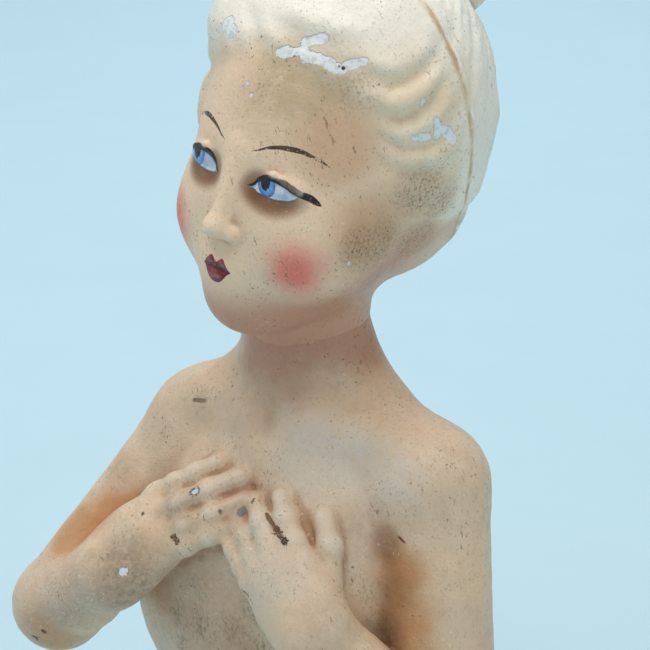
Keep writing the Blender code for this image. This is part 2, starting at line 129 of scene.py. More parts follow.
class Field:
    """Rounded forms joined with a fillet of k mm, in order, some cut away again."""

    def __init__(s):
        s.ops = []

    def add(s, p, k=3.0):
        s.ops.append((1, p, k))
        return s

    def cut(s, p, k=2.0):
        s.ops.append((-1, p, k))
        return s

    def fn(s, f):
        s.ops.append((0, f, 0))
        return s

    def __call__(s, x, y, z):
        D = np.full(np.broadcast(x, y, z).shape, 1e3, F)
        for g, p, k in s.ops:
            D = smin(D, p(x, y, z), k) if g == 1 else smax(D, -p(x, y, z), k) if g == -1 else p(D, x, y, z)
        return D

    def at(s, P):
        P = np.atleast_2d(P)
        return s(P[:, 0].astype(F), P[:, 1].astype(F), P[:, 2].astype(F))

    def grid(s, lo, hi, h, far=8.0):
        """Values on a grid of spacing h; each form is only worked out near itself."""
        lo = np.array(lo, float)
        n = np.ceil((np.array(hi) - lo) / h).astype(int) + 1
        ax = [(lo[i] + h * np.arange(n[i])).astype(F) for i in range(3)]
        full = (ax[0][:, None, None], ax[1][None, :, None], ax[2][None, None, :])
        D = np.full(tuple(n), far, F)
        for g, p, k in s.ops:
            if g == 0:
                D = p(D, *full)
                continue
            a, b = p.box()
            m = (far if g == 1 else k) + h
            i0 = np.clip(np.floor((a - m - lo) / h).astype(int), 0, n)
            i1 = np.clip(np.ceil((b + m - lo) / h).astype(int) + 1, 0, n)
            if (i1 <= i0).any():
                continue
            sl = tuple(slice(i0[i], i1[i]) for i in range(3))
            d = p(full[0][sl[0]], full[1][:, sl[1]], full[2][:, :, sl[2]])
            D[sl] = smin(D[sl], d, k) if g == 1 else smax(D[sl], -d, k)
        return lo, D


def surface(lo, h, D, relax=3):
    """The zero level of D as quads (surface nets), evened out and drawn back on to the level."""
    ins = D < 0
    s = ins.astype(np.int8)
    c = s[:-1, :-1] + s[1:, :-1] + s[:-1, 1:] + s[1:, 1:]
    c = c[:, :, :-1] + c[:, :, 1:]
    act = (c > 0) & (c < 8)
    idx = np.argwhere(act)
    ids = np.full(act.shape, -1, np.int32)
    ids[act] = np.arange(len(idx), dtype=np.int32)
    off = np.array([[i, j, k] for k in (0, 1) for j in (0, 1) for i in (0, 1)])
    vals = np.stack([D[idx[:, 0] + o[0], idx[:, 1] + o[1], idx[:, 2] + o[2]] for o in off], 1)
    acc = np.zeros((len(idx), 3))
    cnt = np.zeros(len(idx))
    for a in range(8):
        for b in range(a + 1, 8):
            if abs(off[a] - off[b]).sum() != 1:
                continue
            va, vb = vals[:, a], vals[:, b]
            m = (va < 0) != (vb < 0)
            t = np.where(m, va / np.where(m, va - vb, 1), 0)
            acc += m[:, None] * (off[a] + (off[b] - off[a]) * t[:, None])
            cnt += m
    V = idx + acc / cnt[:, None]
    quads = []
    for ax in range(3):
        o1, o2 = [(1, 2), (2, 0), (0, 1)][ax]
        sl0, sl1 = [slice(1, -1)] * 3, [slice(1, -1)] * 3
        sl0[ax], sl1[ax] = slice(0, -1), slice(1, None)
        A, B = ins[tuple(sl0)], ins[tuple(sl1)]
        e = np.argwhere(A != B)
        if not len(e):
            continue
        sign = A[tuple(e.T)]
        e = e + [0 if i == ax else 1 for i in range(3)]
        d1, d2 = np.zeros(3, int), np.zeros(3, int)
        d1[o1] = d2[o2] = 1
        q = np.stack([ids[tuple((e - d1 - d2).T)], ids[tuple((e - d2).T)], ids[tuple(e.T)], ids[tuple((e - d1).T)]], 1)
        q[~sign] = q[~sign][:, ::-1]
        quads.append(q)
    Q = np.concatenate(quads)
    top = np.array(D.shape) - 2

    def sample(P):
        i = np.clip(np.floor(P).astype(int), 0, top)
        f = P - i
        r, g = np.zeros(len(P)), np.zeros((len(P), 3))
        for o in off:
            w = np.where(o, f, 1 - f)
            v = D[i[:, 0] + o[0], i[:, 1] + o[1], i[:, 2] + o[2]]
            r += v * w.prod(1)
            for ax in range(3):
                ww = w.copy()
                ww[:, ax] = 1 if o[ax] else -1
                g[:, ax] += v * ww.prod(1)
        return r, g

    E = np.concatenate([Q[:, [0, 1]], Q[:, [1, 2]], Q[:, [2, 3]], Q[:, [3, 0]]])
    n = np.maximum(np.bincount(E.ravel(), minlength=len(V)), 1).astype(float)
    for _ in range(relax):
        S = np.zeros_like(V)
        for ax in range(3):
            S[:, ax] = np.bincount(E[:, 0], V[E[:, 1], ax], len(V)) + np.bincount(E[:, 1], V[E[:, 0], ax], len(V))
        V = V * 0.4 + 0.6 * S / n[:, None]
        for _ in range(2):
            r, g = sample(V)
            st = (r / np.maximum((g * g).sum(1), 1e-3))[:, None] * g
            V -= st * np.minimum(1, 1.0 / np.maximum(np.linalg.norm(st, axis=1, keepdims=True), 1e-6))
    return V * h + lo, Q


# ---------------------------------------------------------------- the figure, mm (X = its left, -Y = front)
HEAD_C = np.array([5.5, 4.5, 201.0])
HEAD_M = turn("Z", -7.0) @ turn("Y", 4.0)
FACE_M = turn("Z", -2.0) @ turn("Y", 4.5) @ turn("X", -3.0)     # the face leans further than the skull
FACE_C = np.array([2.0, 8, 8.5]) - FACE_M @ np.array([0, 8, 10])
L_SHOULDER, L_ELBOW, L_WRIST = (37.5, 4, 121), (51, -8, 54), (28.5, -32.5, 91)
R_SHOULDER, R_ELBOW, R_WRIST = (-33.5, 3, 122), (-56.4, -30, 77), (-37.5, -33, 90.6)
R_KNUCKLES = [(-27.5, 112.0, 3.9), (-25.5, 108, 4.4), (-23.0, 103.6, 4.4), (-21.0, 99.4, 4.0)]
R_TIPS = [(-12.5, 122.2, 0.1), (-4.8, 120.4, 0.3), (-1.2, 115.8, 0.6), (-3.0, 109.8, 1.2)]
L_KNUCKLES = [(6.5, 98.5, 3.8), (10.5, 102, 4.2), (15.5, 105, 4.4), (21.5, 106.5, 4.2)]
L_TIPS = [(-4.0, 107.6, 1.0), (-1.0, 111.4, 0.6), (2.5, 116.0, 0.6), (9.0, 118.6, 0.2)]
L_THUMB = [(26.0, 102.5, 3.0), (25.0, 110, 1.6), (21.6, 116.0, 0.6)]


def to_head(P):
    return (P - HEAD_C) @ HEAD_M


def from_head(P):
    return P @ HEAD_M.T + HEAD_C


def trunk():
    f = Field()
    f.add(Ell((0, 3, 98), (38, 25, 42)), 0)                     # rib cage
    f.add(Ell((0, 4, 124), (34, 16, 17)), 8)                    # shoulder girdle
    f.add(Ell((-5, 2, 78), (46, 27, 37)), 8)                    # lower ribs
    f.add(Ell((-1, 3, 48), (36, 22.5, 30)), 10)                 # waist
    f.add(Ell((0, 0, 12), (41, 29, 34)), 12)                    # hips
    f.add(Cap((-1, 5, 126), (-1, 4, 178), 17, 15.2), 9)         # neck
    f.add(Cap((8, 7, 144), (28, 6, 129), 9, 9), 10)             # trapezius
    f.add(Cap((-8, 7, 144), (-28, 6, 129), 9, 9), 10)
    f.add(Ell((15, -11, 102), (16, 12, 16)), 12)                # chest
    f.add(Ell((-15, -11, 102), (16, 12, 16)), 12)
    f.add(Ell(L_SHOULDER, (13.5, 14, 14)), 8)
    f.add(Ell(R_SHOULDER, (13.5, 14, 14)), 8)
    f.add(Cap(L_SHOULDER, L_ELBOW, 14.3, 12.5), 4)
    f.add(Cap(R_SHOULDER, R_ELBOW, 13.0, 12.0), 4)
    f.add(Cap((5, -8.6, 134), (28, -3, 133), 2.0, 3), 8)        # collar bones
    f.add(Cap((-5, -8.6, 134), (-28, -3, 133), 2.0, 3), 8)
    f.cut(Ell((0, -17.0, 137), (3.6, 4, 5)), 7)                 # pit of the neck
    f.cut(Cap((0, 31, 60), (0, 29, 130), 3, 3), 6)              # hollow of the spine
    return f


def head_form():
    f = Field()
    f.add(Ell((0, 5, 6), (31.5, 37, 36)), 0)                    # skull
    f.add(Ell((0, -9, -10), (26.5, 24.5, 30)), 8)               # face
    f.add(Ell((0, -21, -32), (10.5, 10.5, 9.6)), 9)             # chin
    f.add(Ell((13, -18.5, -15), (12.5, 12, 13)), 8)             # cheeks
    f.add(Ell((-13, -18.5, -15), (12.5, 12, 13)), 8)
    f.add(Ell((0, -26.5, -23), (8.5, 6.8, 7.5)), 6)             # mouth
    f.add(Cap((0, -30.2, 6), (0, -36.0, -11), 1.7, 2.3), 4)     # nose
    f.add(Ell((0, -36.4, -12.6), (3.1, 3.2, 2.6)), 2.2)
    for s in (-1, 1):
        f.add(Ell((3.1 * s, -33.9, -13.6), (2.1, 2.7, 2.0)), 1.6)
        f.cut(Ell((12 * s, -38.0, 0.6), (7.6, 6, 4.4)), 5)      # sockets
    for s in (-1, 1):
        f.add(Ell((12 * s, -26.8, 0.3), (6.7, 4.7, 4.0), turn("Z", 8 * s)), 1.6)
        a, b, c = (5.8 * s, -30.4, 0.6), (11.6 * s, -31.7, 3.7), (18.2 * s, -28.4, 0.8)
        f.add(Cap(a, b, 0.25, 0.4), 1.4)                        # upper lid
        f.add(Cap(b, c, 0.4, 0.25), 1.4)
        f.add(Ell((2.1 * s, -32.6, -22.0), (2.4, 1.9, 1.35), turn("Y", 14 * s)), 1.2)
    f.add(Ell((0, -32.2, -25.0), (3.3, 2.2, 1.7)), 1.2)         # lips
    f.cut(Cap((-3.6, -34.6, -23.3), (3.6, -34.6, -23.3), 0.35), 0.9)
    f.cut(Ell((0, -36.8, -19.2), (1.2, 1.9, 1.8)), 1.6)
    f.ops[1:] = [(g, p.moved(FACE_C, FACE_M), k) for g, p, k in f.ops[1:]]
    return f


HAIR_Z = [-45, -35, -25, -10, 0, 10, 20, 30, 40, 60]
HAIR_Y = [14, 6, -1, -6, -9, -13, -18, -26, -38, -60]


def hair_form():
    f = Field()
    f.add(Ell((0, 8, 10), (35, 38, 41)), 0)
    f.add(Ell((0, 13, -13), (25, 19.2, 19.8)), 12)
    f.add(Ell((-19.5, -10.5, 30), (8.5, 8.5, 10)), 8)              # puff over the right temple
    f.fn(lambda D, x, y, z: smax(D, (np.interp(z, HAIR_Z, HAIR_Y).astype(F) - y) * F(0.8) + 0 * x, 7))
    f.add(Ell((-27.3, -11.6, 8), (4, 5, 9)), 3)                    # lock at the temple
    return f


def chest_point(T, x, z, off):
    """The point in front of the chest at x, z that stands off from its surface."""
    y = -70.0
    for _ in range(60):
        d = float(T.at((x, y, z))[0]) - off
        if d < 0.02:
            break
        y += d * 0.9
    return np.array([x, y, z])


def forearm(T, elbow, wrist, knuckles, tips, thick, thumb=None, slim=9.2):
    f = Field()
    E, W = np.array(elbow, float), np.array(wrist, float)
    kn = [chest_point(T, *k) for k in knuckles]
    M = E + (W - E) * 0.45
    f.add(Cap(E, M, 12.0, 10.3), 0)
    f.add(Cap(M, W, 10.3, slim), 4)
    ax = (kn[1] + kn[2]) / 2 - W
    L = np.linalg.norm(ax)
    u = ax / L
    v = kn[0] - kn[3]
    v = v - u * (v @ u)
    v /= np.linalg.norm(v)
    f.add(Ell(W + ax * 0.5, (L * 0.74, 11.6, 6.8), np.stack([u, v, np.cross(u, v)], 1)), 6)
    for i in range(4):
        a = kn[i]
        bones = [W + (a - W) * 0.55, a]
        for t in (0.35, 0.7, 1.0):
            bones.append(chest_point(T, *[p + (q - p) * t for p, q in zip(knuckles[i], tips[i])]))
        radii = [thick[i], thick[i] + 0.1, thick[i] + 0.05, thick[i] - 0.1, thick[i] - 0.5]
        for j in range(4):
            f.add(Cap(bones[j], bones[j + 1], radii[j], radii[j + 1]), (4, 2.6, 1.9, 1.9)[j])
    if thumb:
        t0, t1, t2 = [chest_point(T, *t) for t in thumb]
        f.add(Cap(W + (t0 - W) * 0.3, t0, 4.5, 3.6), 4)
        f.add(Cap(t0, t1, 3.6, 3.1), 1.6)
        f.add(Cap(t1, t2, 3.1, 2.5), 1.6)
    return f


def bun_form():
    f = Field()
    f.add(Ell((0, 34, 42), (18, 15, 13)), 0)
    return f


def ramp(a, b, x):
    t = np.clip((x - F(a)) / F(b - a), 0, 1)
    return t * t * (3 - 2 * t)


def relief(x, y, z):
    """How far the combed hair stands out, in the head's frame: fine strands, and a fold along the lower edge."""
    x, y, z = x + 0 * y * z, y + 0 * x * z, z + 0 * x * y
    ang = np.arctan2(x, z + F(14))
    top = ramp(20, 34, z) * ramp(-26, -14, y)
    out = (np.sin(ang * 17 + y * F(0.05)) * F(0.12) + np.sin(ang * 41 + y * F(0.11)) * F(0.05)) * top
    nape = ramp(16, 26, y) * ramp(30, 14, z)
    out += np.sin(ang * 15 + F(1.2)) * F(0.22) * nape
    low = ramp(-9.5, -12, z)
    out -= F(0.55) * low
    out -= F(0.30) * np.exp(-((z + F(10.8)) / F(0.9)) ** 2) * ramp(-22, -16, y)
    out += F(0.25) * np.exp(-((z + F(8.4)) / F(1.6)) ** 2) * ramp(-22, -16, y)
    return out.astype(F)


# combed waves of the hair, in the head's frame: height, half-width, line
STROKES = [
    (1.22, 2.6, [(26.6, -13.6, 22.1), (28.8, -11.0, 20.9), (30.7, -6.9, 21.4), (31.6, -2.7, 23.3), (31.6, 1.1, 26.0)]),
    (-1.08, 1.9, [(27.6, -12.9, 17.8), (30.4, -9.6, 16.7), (32.1, -5.2, 18.2), (32.7, -0.5, 21.2), (32.5, 3.2, 24.4)]),
    (0.68, 1.6, [(28.1, -12.2, 14.7), (30.5, -9.5, 13.6), (32.7, -4.9, 14.4), (33.8, 0.2, 16.5), (33.8, 4.3, 20.1)]),
    (-0.68, 1.6, [(26.8, -13.0, 13.3), (28.4, -11.1, 10.9), (31.2, -8.1, 9.8), (33.6, -2.6, 9.8), (34.8, 4.0, 11.6)]),
    (0.81, 1.9, [(27.0, -13.7, 10.1), (28.9, -9.9, 7.6), (31.8, -6.6, 6.7), (33.9, -1.1, 6.9), (34.9, 5.0, 8.5)]),
    (-0.61, 1.7, [(26.5, -15.1, 7.8), (28.6, -10.6, 4.0), (31.1, -6.2, 2.8), (33.5, -0.9, 2.8), (34.6, 6.2, 3.9)]),
    (0.41, 2.2, [(26.5, -15.5, 5.4), (28.4, -10.9, 1.3), (30.0, -5.6, -1.1), (32.8, 0.3, -1.6), (33.7, 6.7, -1.1)]),
    (-0.61, 1.5, [(25.4, -17.7, 4.6), (27.0, -14.1, -0.9), (28.1, -8.5, -5.5), (30.1, -1.4, -7.7), (32.1, 6.3, -7.5)]),
    (0.68, 2.6, [(23.1, -13.8, 30.0), (26.5, -9.8, 28.6), (28.2, -5.4, 29.5), (28.7, -0.1, 31.9), (27.6, 2.8, 34.6)]),
    (-0.68, 2.2, [(24.9, -14.1, 26.1), (27.9, -10.4, 24.7), (29.8, -5.5, 26.0), (30.3, 0.2, 28.8), (29.5, 4.5, 31.8)]),
    (-0.74, 1.4, [(20.9, -21.3, 14.9), (23.5, -19.6, 9.9), (25.9, -16.8, 4.3), (27.6, -12.5, -1.8), (28.1, -4.6, -8.3)]),
    (0.47, 1.5, [(22.2, -19.6, 14.9), (24.7, -17.8, 10.3), (26.7, -15.1, 4.9), (28.3, -10.5, -1.3)]),
    (-0.47, 1.4, [(20.2, -23.6, 9.8), (23.0, -21.4, 4.7), (25.2, -18.2, -0.3), (26.9, -12.9, -5.4)]),
    (0.41, 1.5, [(20.5, -22.4, 12.6), (23.4, -20.3, 7.5), (25.5, -17.7, 2.2), (27.0, -13.9, -2.7)]),
    (-0.68, 2.6, [(-2.4, -21.0, 36.3), (3.8, -22.0, 34.8), (8.7, -21.7, 33.4), (15.5, -18.8, 32.7)]),
    (0.61, 2.6, [(1.7, -18.7, 39.2), (8.6, -18.5, 37.7), (14.4, -16.1, 36.8), (19.6, -11.2, 36.9)]),
    (-0.54, 2.4, [(19.1, -17.4, 30.6), (23.2, -15.2, 27.8), (26.8, -12.0, 25.2)]),
    (-0.74, 2.4, [(-12.2, -17.6, 36.8), (-7.0, -21.5, 34.5), (-3.7, -23.5, 31.1), (-0.2, -24.2, 28.1)]),
    (0.34, 2.4, [(-14.4, -19.7, 31.1), (-13.4, -21.3, 27.5), (-10.2, -23.6, 24.9)]),
    (-0.54, 2.2, [(12.0, -6.0, 47.0), (16.0, 2.0, 46.0), (18.0, 9.0, 43.0)]),
    (0.54, 2.2, [(8.0, -10.0, 47.0), (11.0, -2.0, 48.5), (12.0, 6.0, 48.0)]),
    (-0.54, 2.2, [(3.0, -13.0, 45.5), (5.0, -4.0, 48.5), (5.0, 5.0, 50.0)]),
]


def comb(G, lo, h, strokes):
    """Adds the strokes to a grid of how far the hair stands out; those at the side are made on both sides."""
    for high, w, pts in strokes:
        sides = (1, -1) if pts[0][0] > 15 else (1,)
        for s in sides:
            q = np.array(pts, float) * (s, 1, 1)
            a = np.clip(np.floor((q.min(0) - 2.6 * w - lo) / h).astype(int), 0, G.shape)
            b = np.clip(np.ceil((q.max(0) + 2.6 * w - lo) / h).astype(int) + 1, 0, G.shape)
            x, y, z = [(lo[i] + h * np.arange(a[i], b[i])).astype(F).reshape([-1 if j == i else 1 for j in range(3)]) for i in range(3)]
            near, along = None, None
            L = len(q) - 1
            for i in range(L):
                p, d = q[i].astype(F), (q[i + 1] - q[i]).astype(F)
                u, v, t = x - p[0], y - p[1], z - p[2]
                k = np.clip((u * d[0] + v * d[1] + t * d[2]) / F((d * d).sum()), 0, 1)
                r = np.sqrt((u - k * d[0]) ** 2 + (v - k * d[1]) ** 2 + (t - k * d[2]) ** 2)
                at = (i + k) / F(L)
                if near is None:
                    near, along = r, at
                else:
                    along = np.where(r < near, at, along)
                    near = np.minimum(near, r)
            fade = F(0.35) + F(0.65) * np.minimum(1, np.minimum(along, 1 - along) * F(4))
            G[a[0]:b[0], a[1]:b[1], a[2]:b[2]] += (F(1.3 * high) * fade * np.exp(-(near / F(w)) ** 2)).astype(F)
    return G


# ---------------------------------------------------------------- small helpers on meshes
def smooth(a, b, x):
    t = np.clip((x - a) / (b - a), 0, 1)
    return t * t * (3 - 2 * t)


def waves(P, seed, scale, octaves=3):
    """Soft seeded noise, about -1 to 1, with lumps of about scale mm."""
    rng = np.random.default_rng(seed)
    out = np.zeros(len(P))
    amp = 1.0
    for _ in range(octaves):
        s = np.zeros(len(P))
        for _ in range(7):
            k = rng.normal(size=3)
            k = k / np.linalg.norm(k) * 2 * math.pi / scale * rng.uniform(0.7, 1.3)
            s += np.sin(P @ k + rng.uniform(0, 6.28) + 1.3 * np.sin(P @ k[[1, 2, 0]] * 0.6))
        out += s / 4 * amp
        amp *= 0.5
        scale *= 0.47
    return out


def triangles(Q):
    return np.concatenate([Q[:, [0, 1, 2]], Q[:, [0, 2, 3]]])


def vertex_normals(V, T):
    n = np.cross(V[T[:, 1]] - V[T[:, 0]], V[T[:, 2]] - V[T[:, 0]])
    N = np.stack([sum(np.bincount(T[:, j], n[:, i], len(V)) for j in range(3)) for i in range(3)], 1)
    return N / np.maximum(np.linalg.norm(N, axis=1, keepdims=True), 1e-12)


def neighbour_mean(X, T):
    E = np.concatenate([T[:, [0, 1]], T[:, [1, 2]], T[:, [2, 0]]])
    n = np.bincount(E.ravel(), minlength=len(X)).astype(float)
    return np.stack([(np.bincount(E[:, 0], X[E[:, 1], i], len(X)) + np.bincount(E[:, 1], X[E[:, 0], i], len(X))) / np.maximum(n, 1) for i in range(X.shape[1])], 1)


def hollowness(V, N, T, passes=5):
    """How deep in a crease each point lies: positive in hollows."""
    c = ((neighbour_mean(V, T) - V) * N).sum(1)[:, None]
    for _ in range(passes):
        c = neighbour_mean(c, T)
    return c[:, 0]


def cut(D, T, s):
    """Splits the triangles where s, given at the points, changes sign: the part below zero and the part above."""
    s = np.where(np.abs(s) < 1e-6, 1e-6, s)
    side = s[T] < 0
    k = side.sum(1)
    E = {}
    new, tri = [], {True: [T[k == 3]], False: [T[k == 0]]}
    mixed = T[(k > 0) & (k < 3)]
    ms = side[(k > 0) & (k < 3)]
    lone = np.where(ms.sum(1) == 1, np.argmax(ms, 1), np.argmin(ms, 1))
    r = np.arange(len(mixed))
    a, b, c = mixed[r, lone], mixed[r, (lone + 1) % 3], mixed[r, (lone + 2) % 3]
    n = len(D)
    pairs = np.concatenate([np.stack([a, b], 1), np.stack([a, c], 1)])
    key = np.sort(pairs, 1)
    uniq, inv = np.unique(key, axis=0, return_inverse=True)
    inv = inv.ravel()
    t = s[uniq[:, 0]] / (s[uniq[:, 0]] - s[uniq[:, 1]])
    P = D[uniq[:, 0]] + (D[uniq[:, 1]] - D[uniq[:, 0]]) * t[:, None]
    ab, ac = n + inv[: len(mixed)], n + inv[len(mixed):]
    lone_neg = s[a] < 0
    for flag in (True, False):
        m = lone_neg == flag
        tri[flag].append(np.stack([a[m], ab[m], ac[m]], 1))
        tri[not flag].append(np.stack([ab[m], b[m], c[m]], 1))
        tri[not flag].append(np.stack([ab[m], c[m], ac[m]], 1))
    D = np.concatenate([D, P])
    return compact(D, np.concatenate(tri[True])), compact(D, np.concatenate(tri[False]))


def compact(D, T):
    ids, inv = np.unique(T, return_inverse=True)
    return D[ids], inv.reshape(T.shape)


def drop_crumbs(D, T, least=400):
    """Leaves out loose scraps of fewer than that many triangles."""
    lab = np.arange(len(D))
    while True:
        m = lab[T].min(1)
        new = lab.copy()
        for j in range(3):
            np.minimum.at(new, T[:, j], m)
        new = new[new]
        if (new == lab).all():
            break
        lab = new
    size = np.bincount(lab[T[:, 0]], minlength=len(D))
    return compact(D, T[size[lab[T[:, 0]]] >= least])


ATTRS = ("hair", "crease")


def piece(name, D, T, mat, quads=None):
    """A mesh object from rows of place, normal and attributes, riding on the root."""
    mesh = bpy.data.meshes.new(name)
    F_ = T if quads is None else quads
    w = F_.shape[1]
    mesh.vertices.add(len(D))
    mesh.vertices.foreach_set("co", (D[:, :3] * 0.001).astype(np.float32).ravel())
    mesh.loops.add(len(F_) * w)
    mesh.loops.foreach_set("vertex_index", F_.astype(np.int32).ravel())
    mesh.polygons.add(len(F_))
    mesh.polygons.foreach_set("loop_start", np.arange(0, len(F_) * w, w, dtype=np.int32))
    mesh.polygons.foreach_set("loop_total", np.full(len(F_), w, np.int32))
    mesh.update(calc_edges=True)
    mesh.validate()
    mesh.polygons.foreach_set("use_smooth", np.ones(len(mesh.polygons), bool))
    for i, a in enumerate(ATTRS):
        at = mesh.attributes.new(a, "FLOAT", "POINT")
        at.data.foreach_set("value", D[:, 6 + i].astype(np.float32))
    mesh.normals_split_custom_set_from_vertices(D[:, 3:6].astype(np.float32))
    o = bpy.data.objects.new(name, mesh)
    bpy.context.scene.collection.objects.link(o)
    mesh.materials.append(mat)
    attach(o, "root")
    return o


# ---------------------------------------------------------------- body, in fine mesh
T_FORM = trunk()
R_FORM = forearm(T_FORM, R_ELBOW, R_WRIST, R_KNUCKLES, R_TIPS, [2.9, 3.0, 2.9, 2.6], None, 9.3)
L_FORM = forearm(T_FORM, L_ELBOW, L_WRIST, L_KNUCKLES, L_TIPS, [2.6, 2.9, 3.0, 2.9], L_THUMB)
H = 0.7
LO, HI = (-76.0, -62.0, 0.6), (72.0, 42.0, 181.0)
_, DT = T_FORM.grid(LO, HI, H)
_, DR = R_FORM.grid(LO, HI, H)
_, DL = L_FORM.grid(LO, HI, H)
D = smin(smin(DT, DR, 2.4), DL, 2.2)
zz = (LO[2] + H * np.arange(D.shape[2])).astype(F)[None, None, :]
D = smax(D, F(BASE_Z) - zz, 1.2)                                # flat foot with a soft edge
V, Q = surface(LO, H, D)
T = triangles(Q)


def look_up(G, P):
    """Values of a grid at points."""
    p = (P - np.array(LO)) / H
    i = np.clip(np.floor(p).astype(int), 0, np.array(G.shape) - 2)
    f = p - i
    out = np.zeros(len(P))
    for a in (0, 1):
        for b in (0, 1):
            for c in (0, 1):
                w = np.where(a, f[:, 0], 1 - f[:, 0]) * np.where(b, f[:, 1], 1 - f[:, 1]) * np.where(c, f[:, 2], 1 - f[:, 2])
                out += w * G[i[:, 0] + a, i[:, 1] + b, i[:, 2] + c]
    return out


# hand-finished plaster: soft lumps in the surface
PITS = [  # place, radius, depth of the casting faults and chips on body and arms
    ((8.3, -33.5, 109.0), 1.1, 0.9), ((9.6, -33.9, 106.6), 1.0, 0.9), ((7.4, -32.6, 110.8), 0.8, 0.6),
]
N = vertex_normals(V, T)
crease = hollowness(V, N, T)
lump = waves(V, 11, 15.0) * 0.10 + waves(V, 5, 5.0, 2) * 0.035
V = V + N * lump[:, None] * (smooth(BASE_Z + 0.5, BASE_Z + 3, V[:, 2]) * smooth(164, 150, V[:, 2]))[:, None]
N = vertex_normals(V, T)
tr, tt, tl = look_up(DR, V), look_up(DT, V), look_up(DL, V)
sides = {}
for side, S, E, W in (("right", R_SHOULDER, R_ELBOW, R_WRIST), ("left", L_SHOULDER, L_ELBOW, L_WRIST)):
    S, E, W = (np.array(q, float) for q in (S, E, W))
    fore, upper = (W - E) / np.linalg.norm(W - E), (S - E) / np.linalg.norm(S - E)
    n = (fore - upper) / np.linalg.norm(fore - upper)
    near = np.clip(1 - np.linalg.norm(V - E, axis=1) / 34, 0, 1)
    sides[side] = ((V - E) @ n, near)
s_r = np.maximum(tr - np.minimum(tt, tl) - 7 * sides["right"][1], -sides["right"][0])
s_l = np.maximum(tl - np.minimum(tt, tr) - 7 * sides["left"][1], -sides["left"][0])
rows = np.concatenate([V, N, np.zeros((len(V), 1)), crease[:, None], s_r[:, None], s_l[:, None]], 1)
arm_r, rest_ = cut(rows, T, rows[:, 8])
arm_l, rest_ = cut(*rest_, rest_[0][:, 9])
arm_r, arm_l = drop_crumbs(*arm_r), drop_crumbs(*arm_l)
front, back_ = cut(*rest_, rest_[0][:, 1] - TORSO_PARTING_Y)

# ---------------------------------------------------------------- head, in its own frame
HH = 0.5
HLO, HHI = (-39.0, -43.0, -52.0), (39.0, 60.0, 58.0)
_, DH = head_form().grid(HLO, HHI, HH)
_, DHR = hair_form().grid(HLO, HHI, HH)
_, DB = bun_form().grid(HLO, HHI, HH)
back_turn = HEAD_M.T
neck = Field()
for g, p, k in T_FORM.ops:
    if isinstance(p, Cap) and p.b[2] > 170:
        neck.add(p.moved(-back_turn @ HEAD_C, back_turn), 0)
_, DN = neck.grid(HLO, HHI, HH)
hx, hy, hz = [(HLO[i] + HH * np.arange(DH.shape[i])).astype(F).reshape([-1 if j == i else 1 for j in range(3)]) for i in range(3)]
DHR = DHR - comb(relief(hx, hy, hz), np.array(HLO), HH, STROKES)
G0 = smin(DH, DHR, 3.5)
G1 = smin(G0, DB, 1.6)
FILLET = 4.0 + 5.5 * np.clip((hy + 14) / 16, 0, 1) + 0 * hx * hz         # tight under the chin, wide at the nape
G2 = smin_by(G1, DN, FILLET)
HV, HQ = surface(HLO, HH, G2)
HT = triangles(HQ)
HLO_, H_ = np.array(HLO), HH


def head_look(G, P):
    p = (P - HLO_) / H_
    i = np.clip(np.floor(p).astype(int), 0, np.array(G.shape) - 2)
    f = p - i
    out = np.zeros(len(P))
    for a in (0, 1):
        for b in (0, 1):
            for c in (0, 1):
                w = np.where(a, f[:, 0], 1 - f[:, 0]) * np.where(b, f[:, 1], 1 - f[:, 1]) * np.where(c, f[:, 2], 1 - f[:, 2])
                out += w * G[i[:, 0] + a, i[:, 1] + b, i[:, 2] + c]
    return out


HN = vertex_normals(HV, HT)
hcrease = hollowness(HV, HN, HT)
hairy = smooth(-2.6, 3.4, head_look(DH, HV) - head_look(DHR, HV) + waves(HV, 3, 9, 2) * 0.25) * smooth(-14.5, -9.5, HV[:, 2] + 1.3 * waves(HV, 17, 16, 2))
s_bun = head_look(DB, HV) - head_look(G0, HV)
hairy = np.maximum(hairy, smooth(0.5, -0.5, s_bun))
s_neck = head_look(G1, HV) - head_look(DN, HV) - 0.95 * head_look(FILLET, HV)
lean = math.radians(HEAD_LEAN)
s_part = (HV[:, 1] - HEAD_PARTING_Y) * math.cos(lean) + HV[:, 2] * math.sin(lean)
calm = np.where(hairy > 0.5, 1.0, 0.35)
lump = (waves(HV, 21, 12.0) * 0.10 + waves(HV, 8, 4.5, 2) * 0.04) * calm
seam = s_part + 0.35 * waves(HV, 9, 14, 2)
on_seam = smooth(1.0, 0.0, np.abs(s_bun < 0)) * smooth(-26, -20, HV[:, 2])
lump += (-0.22 * np.exp(-((seam / 0.5) ** 2)) + 0.34 * np.exp(-(((seam - 1.1) / 0.8) ** 2)) + 0.10 * np.exp(-(((seam + 1.5) / 0.9) ** 2))) * on_seam
# strands combed up to the knot, and the twist of the knot itself
ax_ = np.array([0, 0.63, 0.777])
side_ = np.cross(ax_, [1.0, 0, 0])
q = HV - np.array([0, 34, 42.0])
round_, from_axis = np.arctan2(q[:, 0], q @ side_), np.linalg.norm(q - (q @ ax_)[:, None] * ax_, axis=1)
on_bun = smooth(0.6, -0.6, s_bun)
lump += 0.42 * np.sin(6 * round_ + 0.50 * from_axis) * smooth(1.5, 6.0, from_axis) * on_bun
lump += 0.10 * np.sin(23 * round_ + 1.4 * from_axis) * smooth(2, 6, from_axis) * on_bun
back_hair = hairy * (1 - on_bun) * smooth(HEAD_PARTING_Y - 2, HEAD_PARTING_Y + 8, HV[:, 1] + HV[:, 2] * math.tan(lean))
lump += (0.20 * np.sin(17 * round_ + 1.5 * waves(HV, 12, 26, 2)) + 0.09 * np.sin(43 * round_ + 2 * waves(HV, 14, 18, 2))) * back_hair
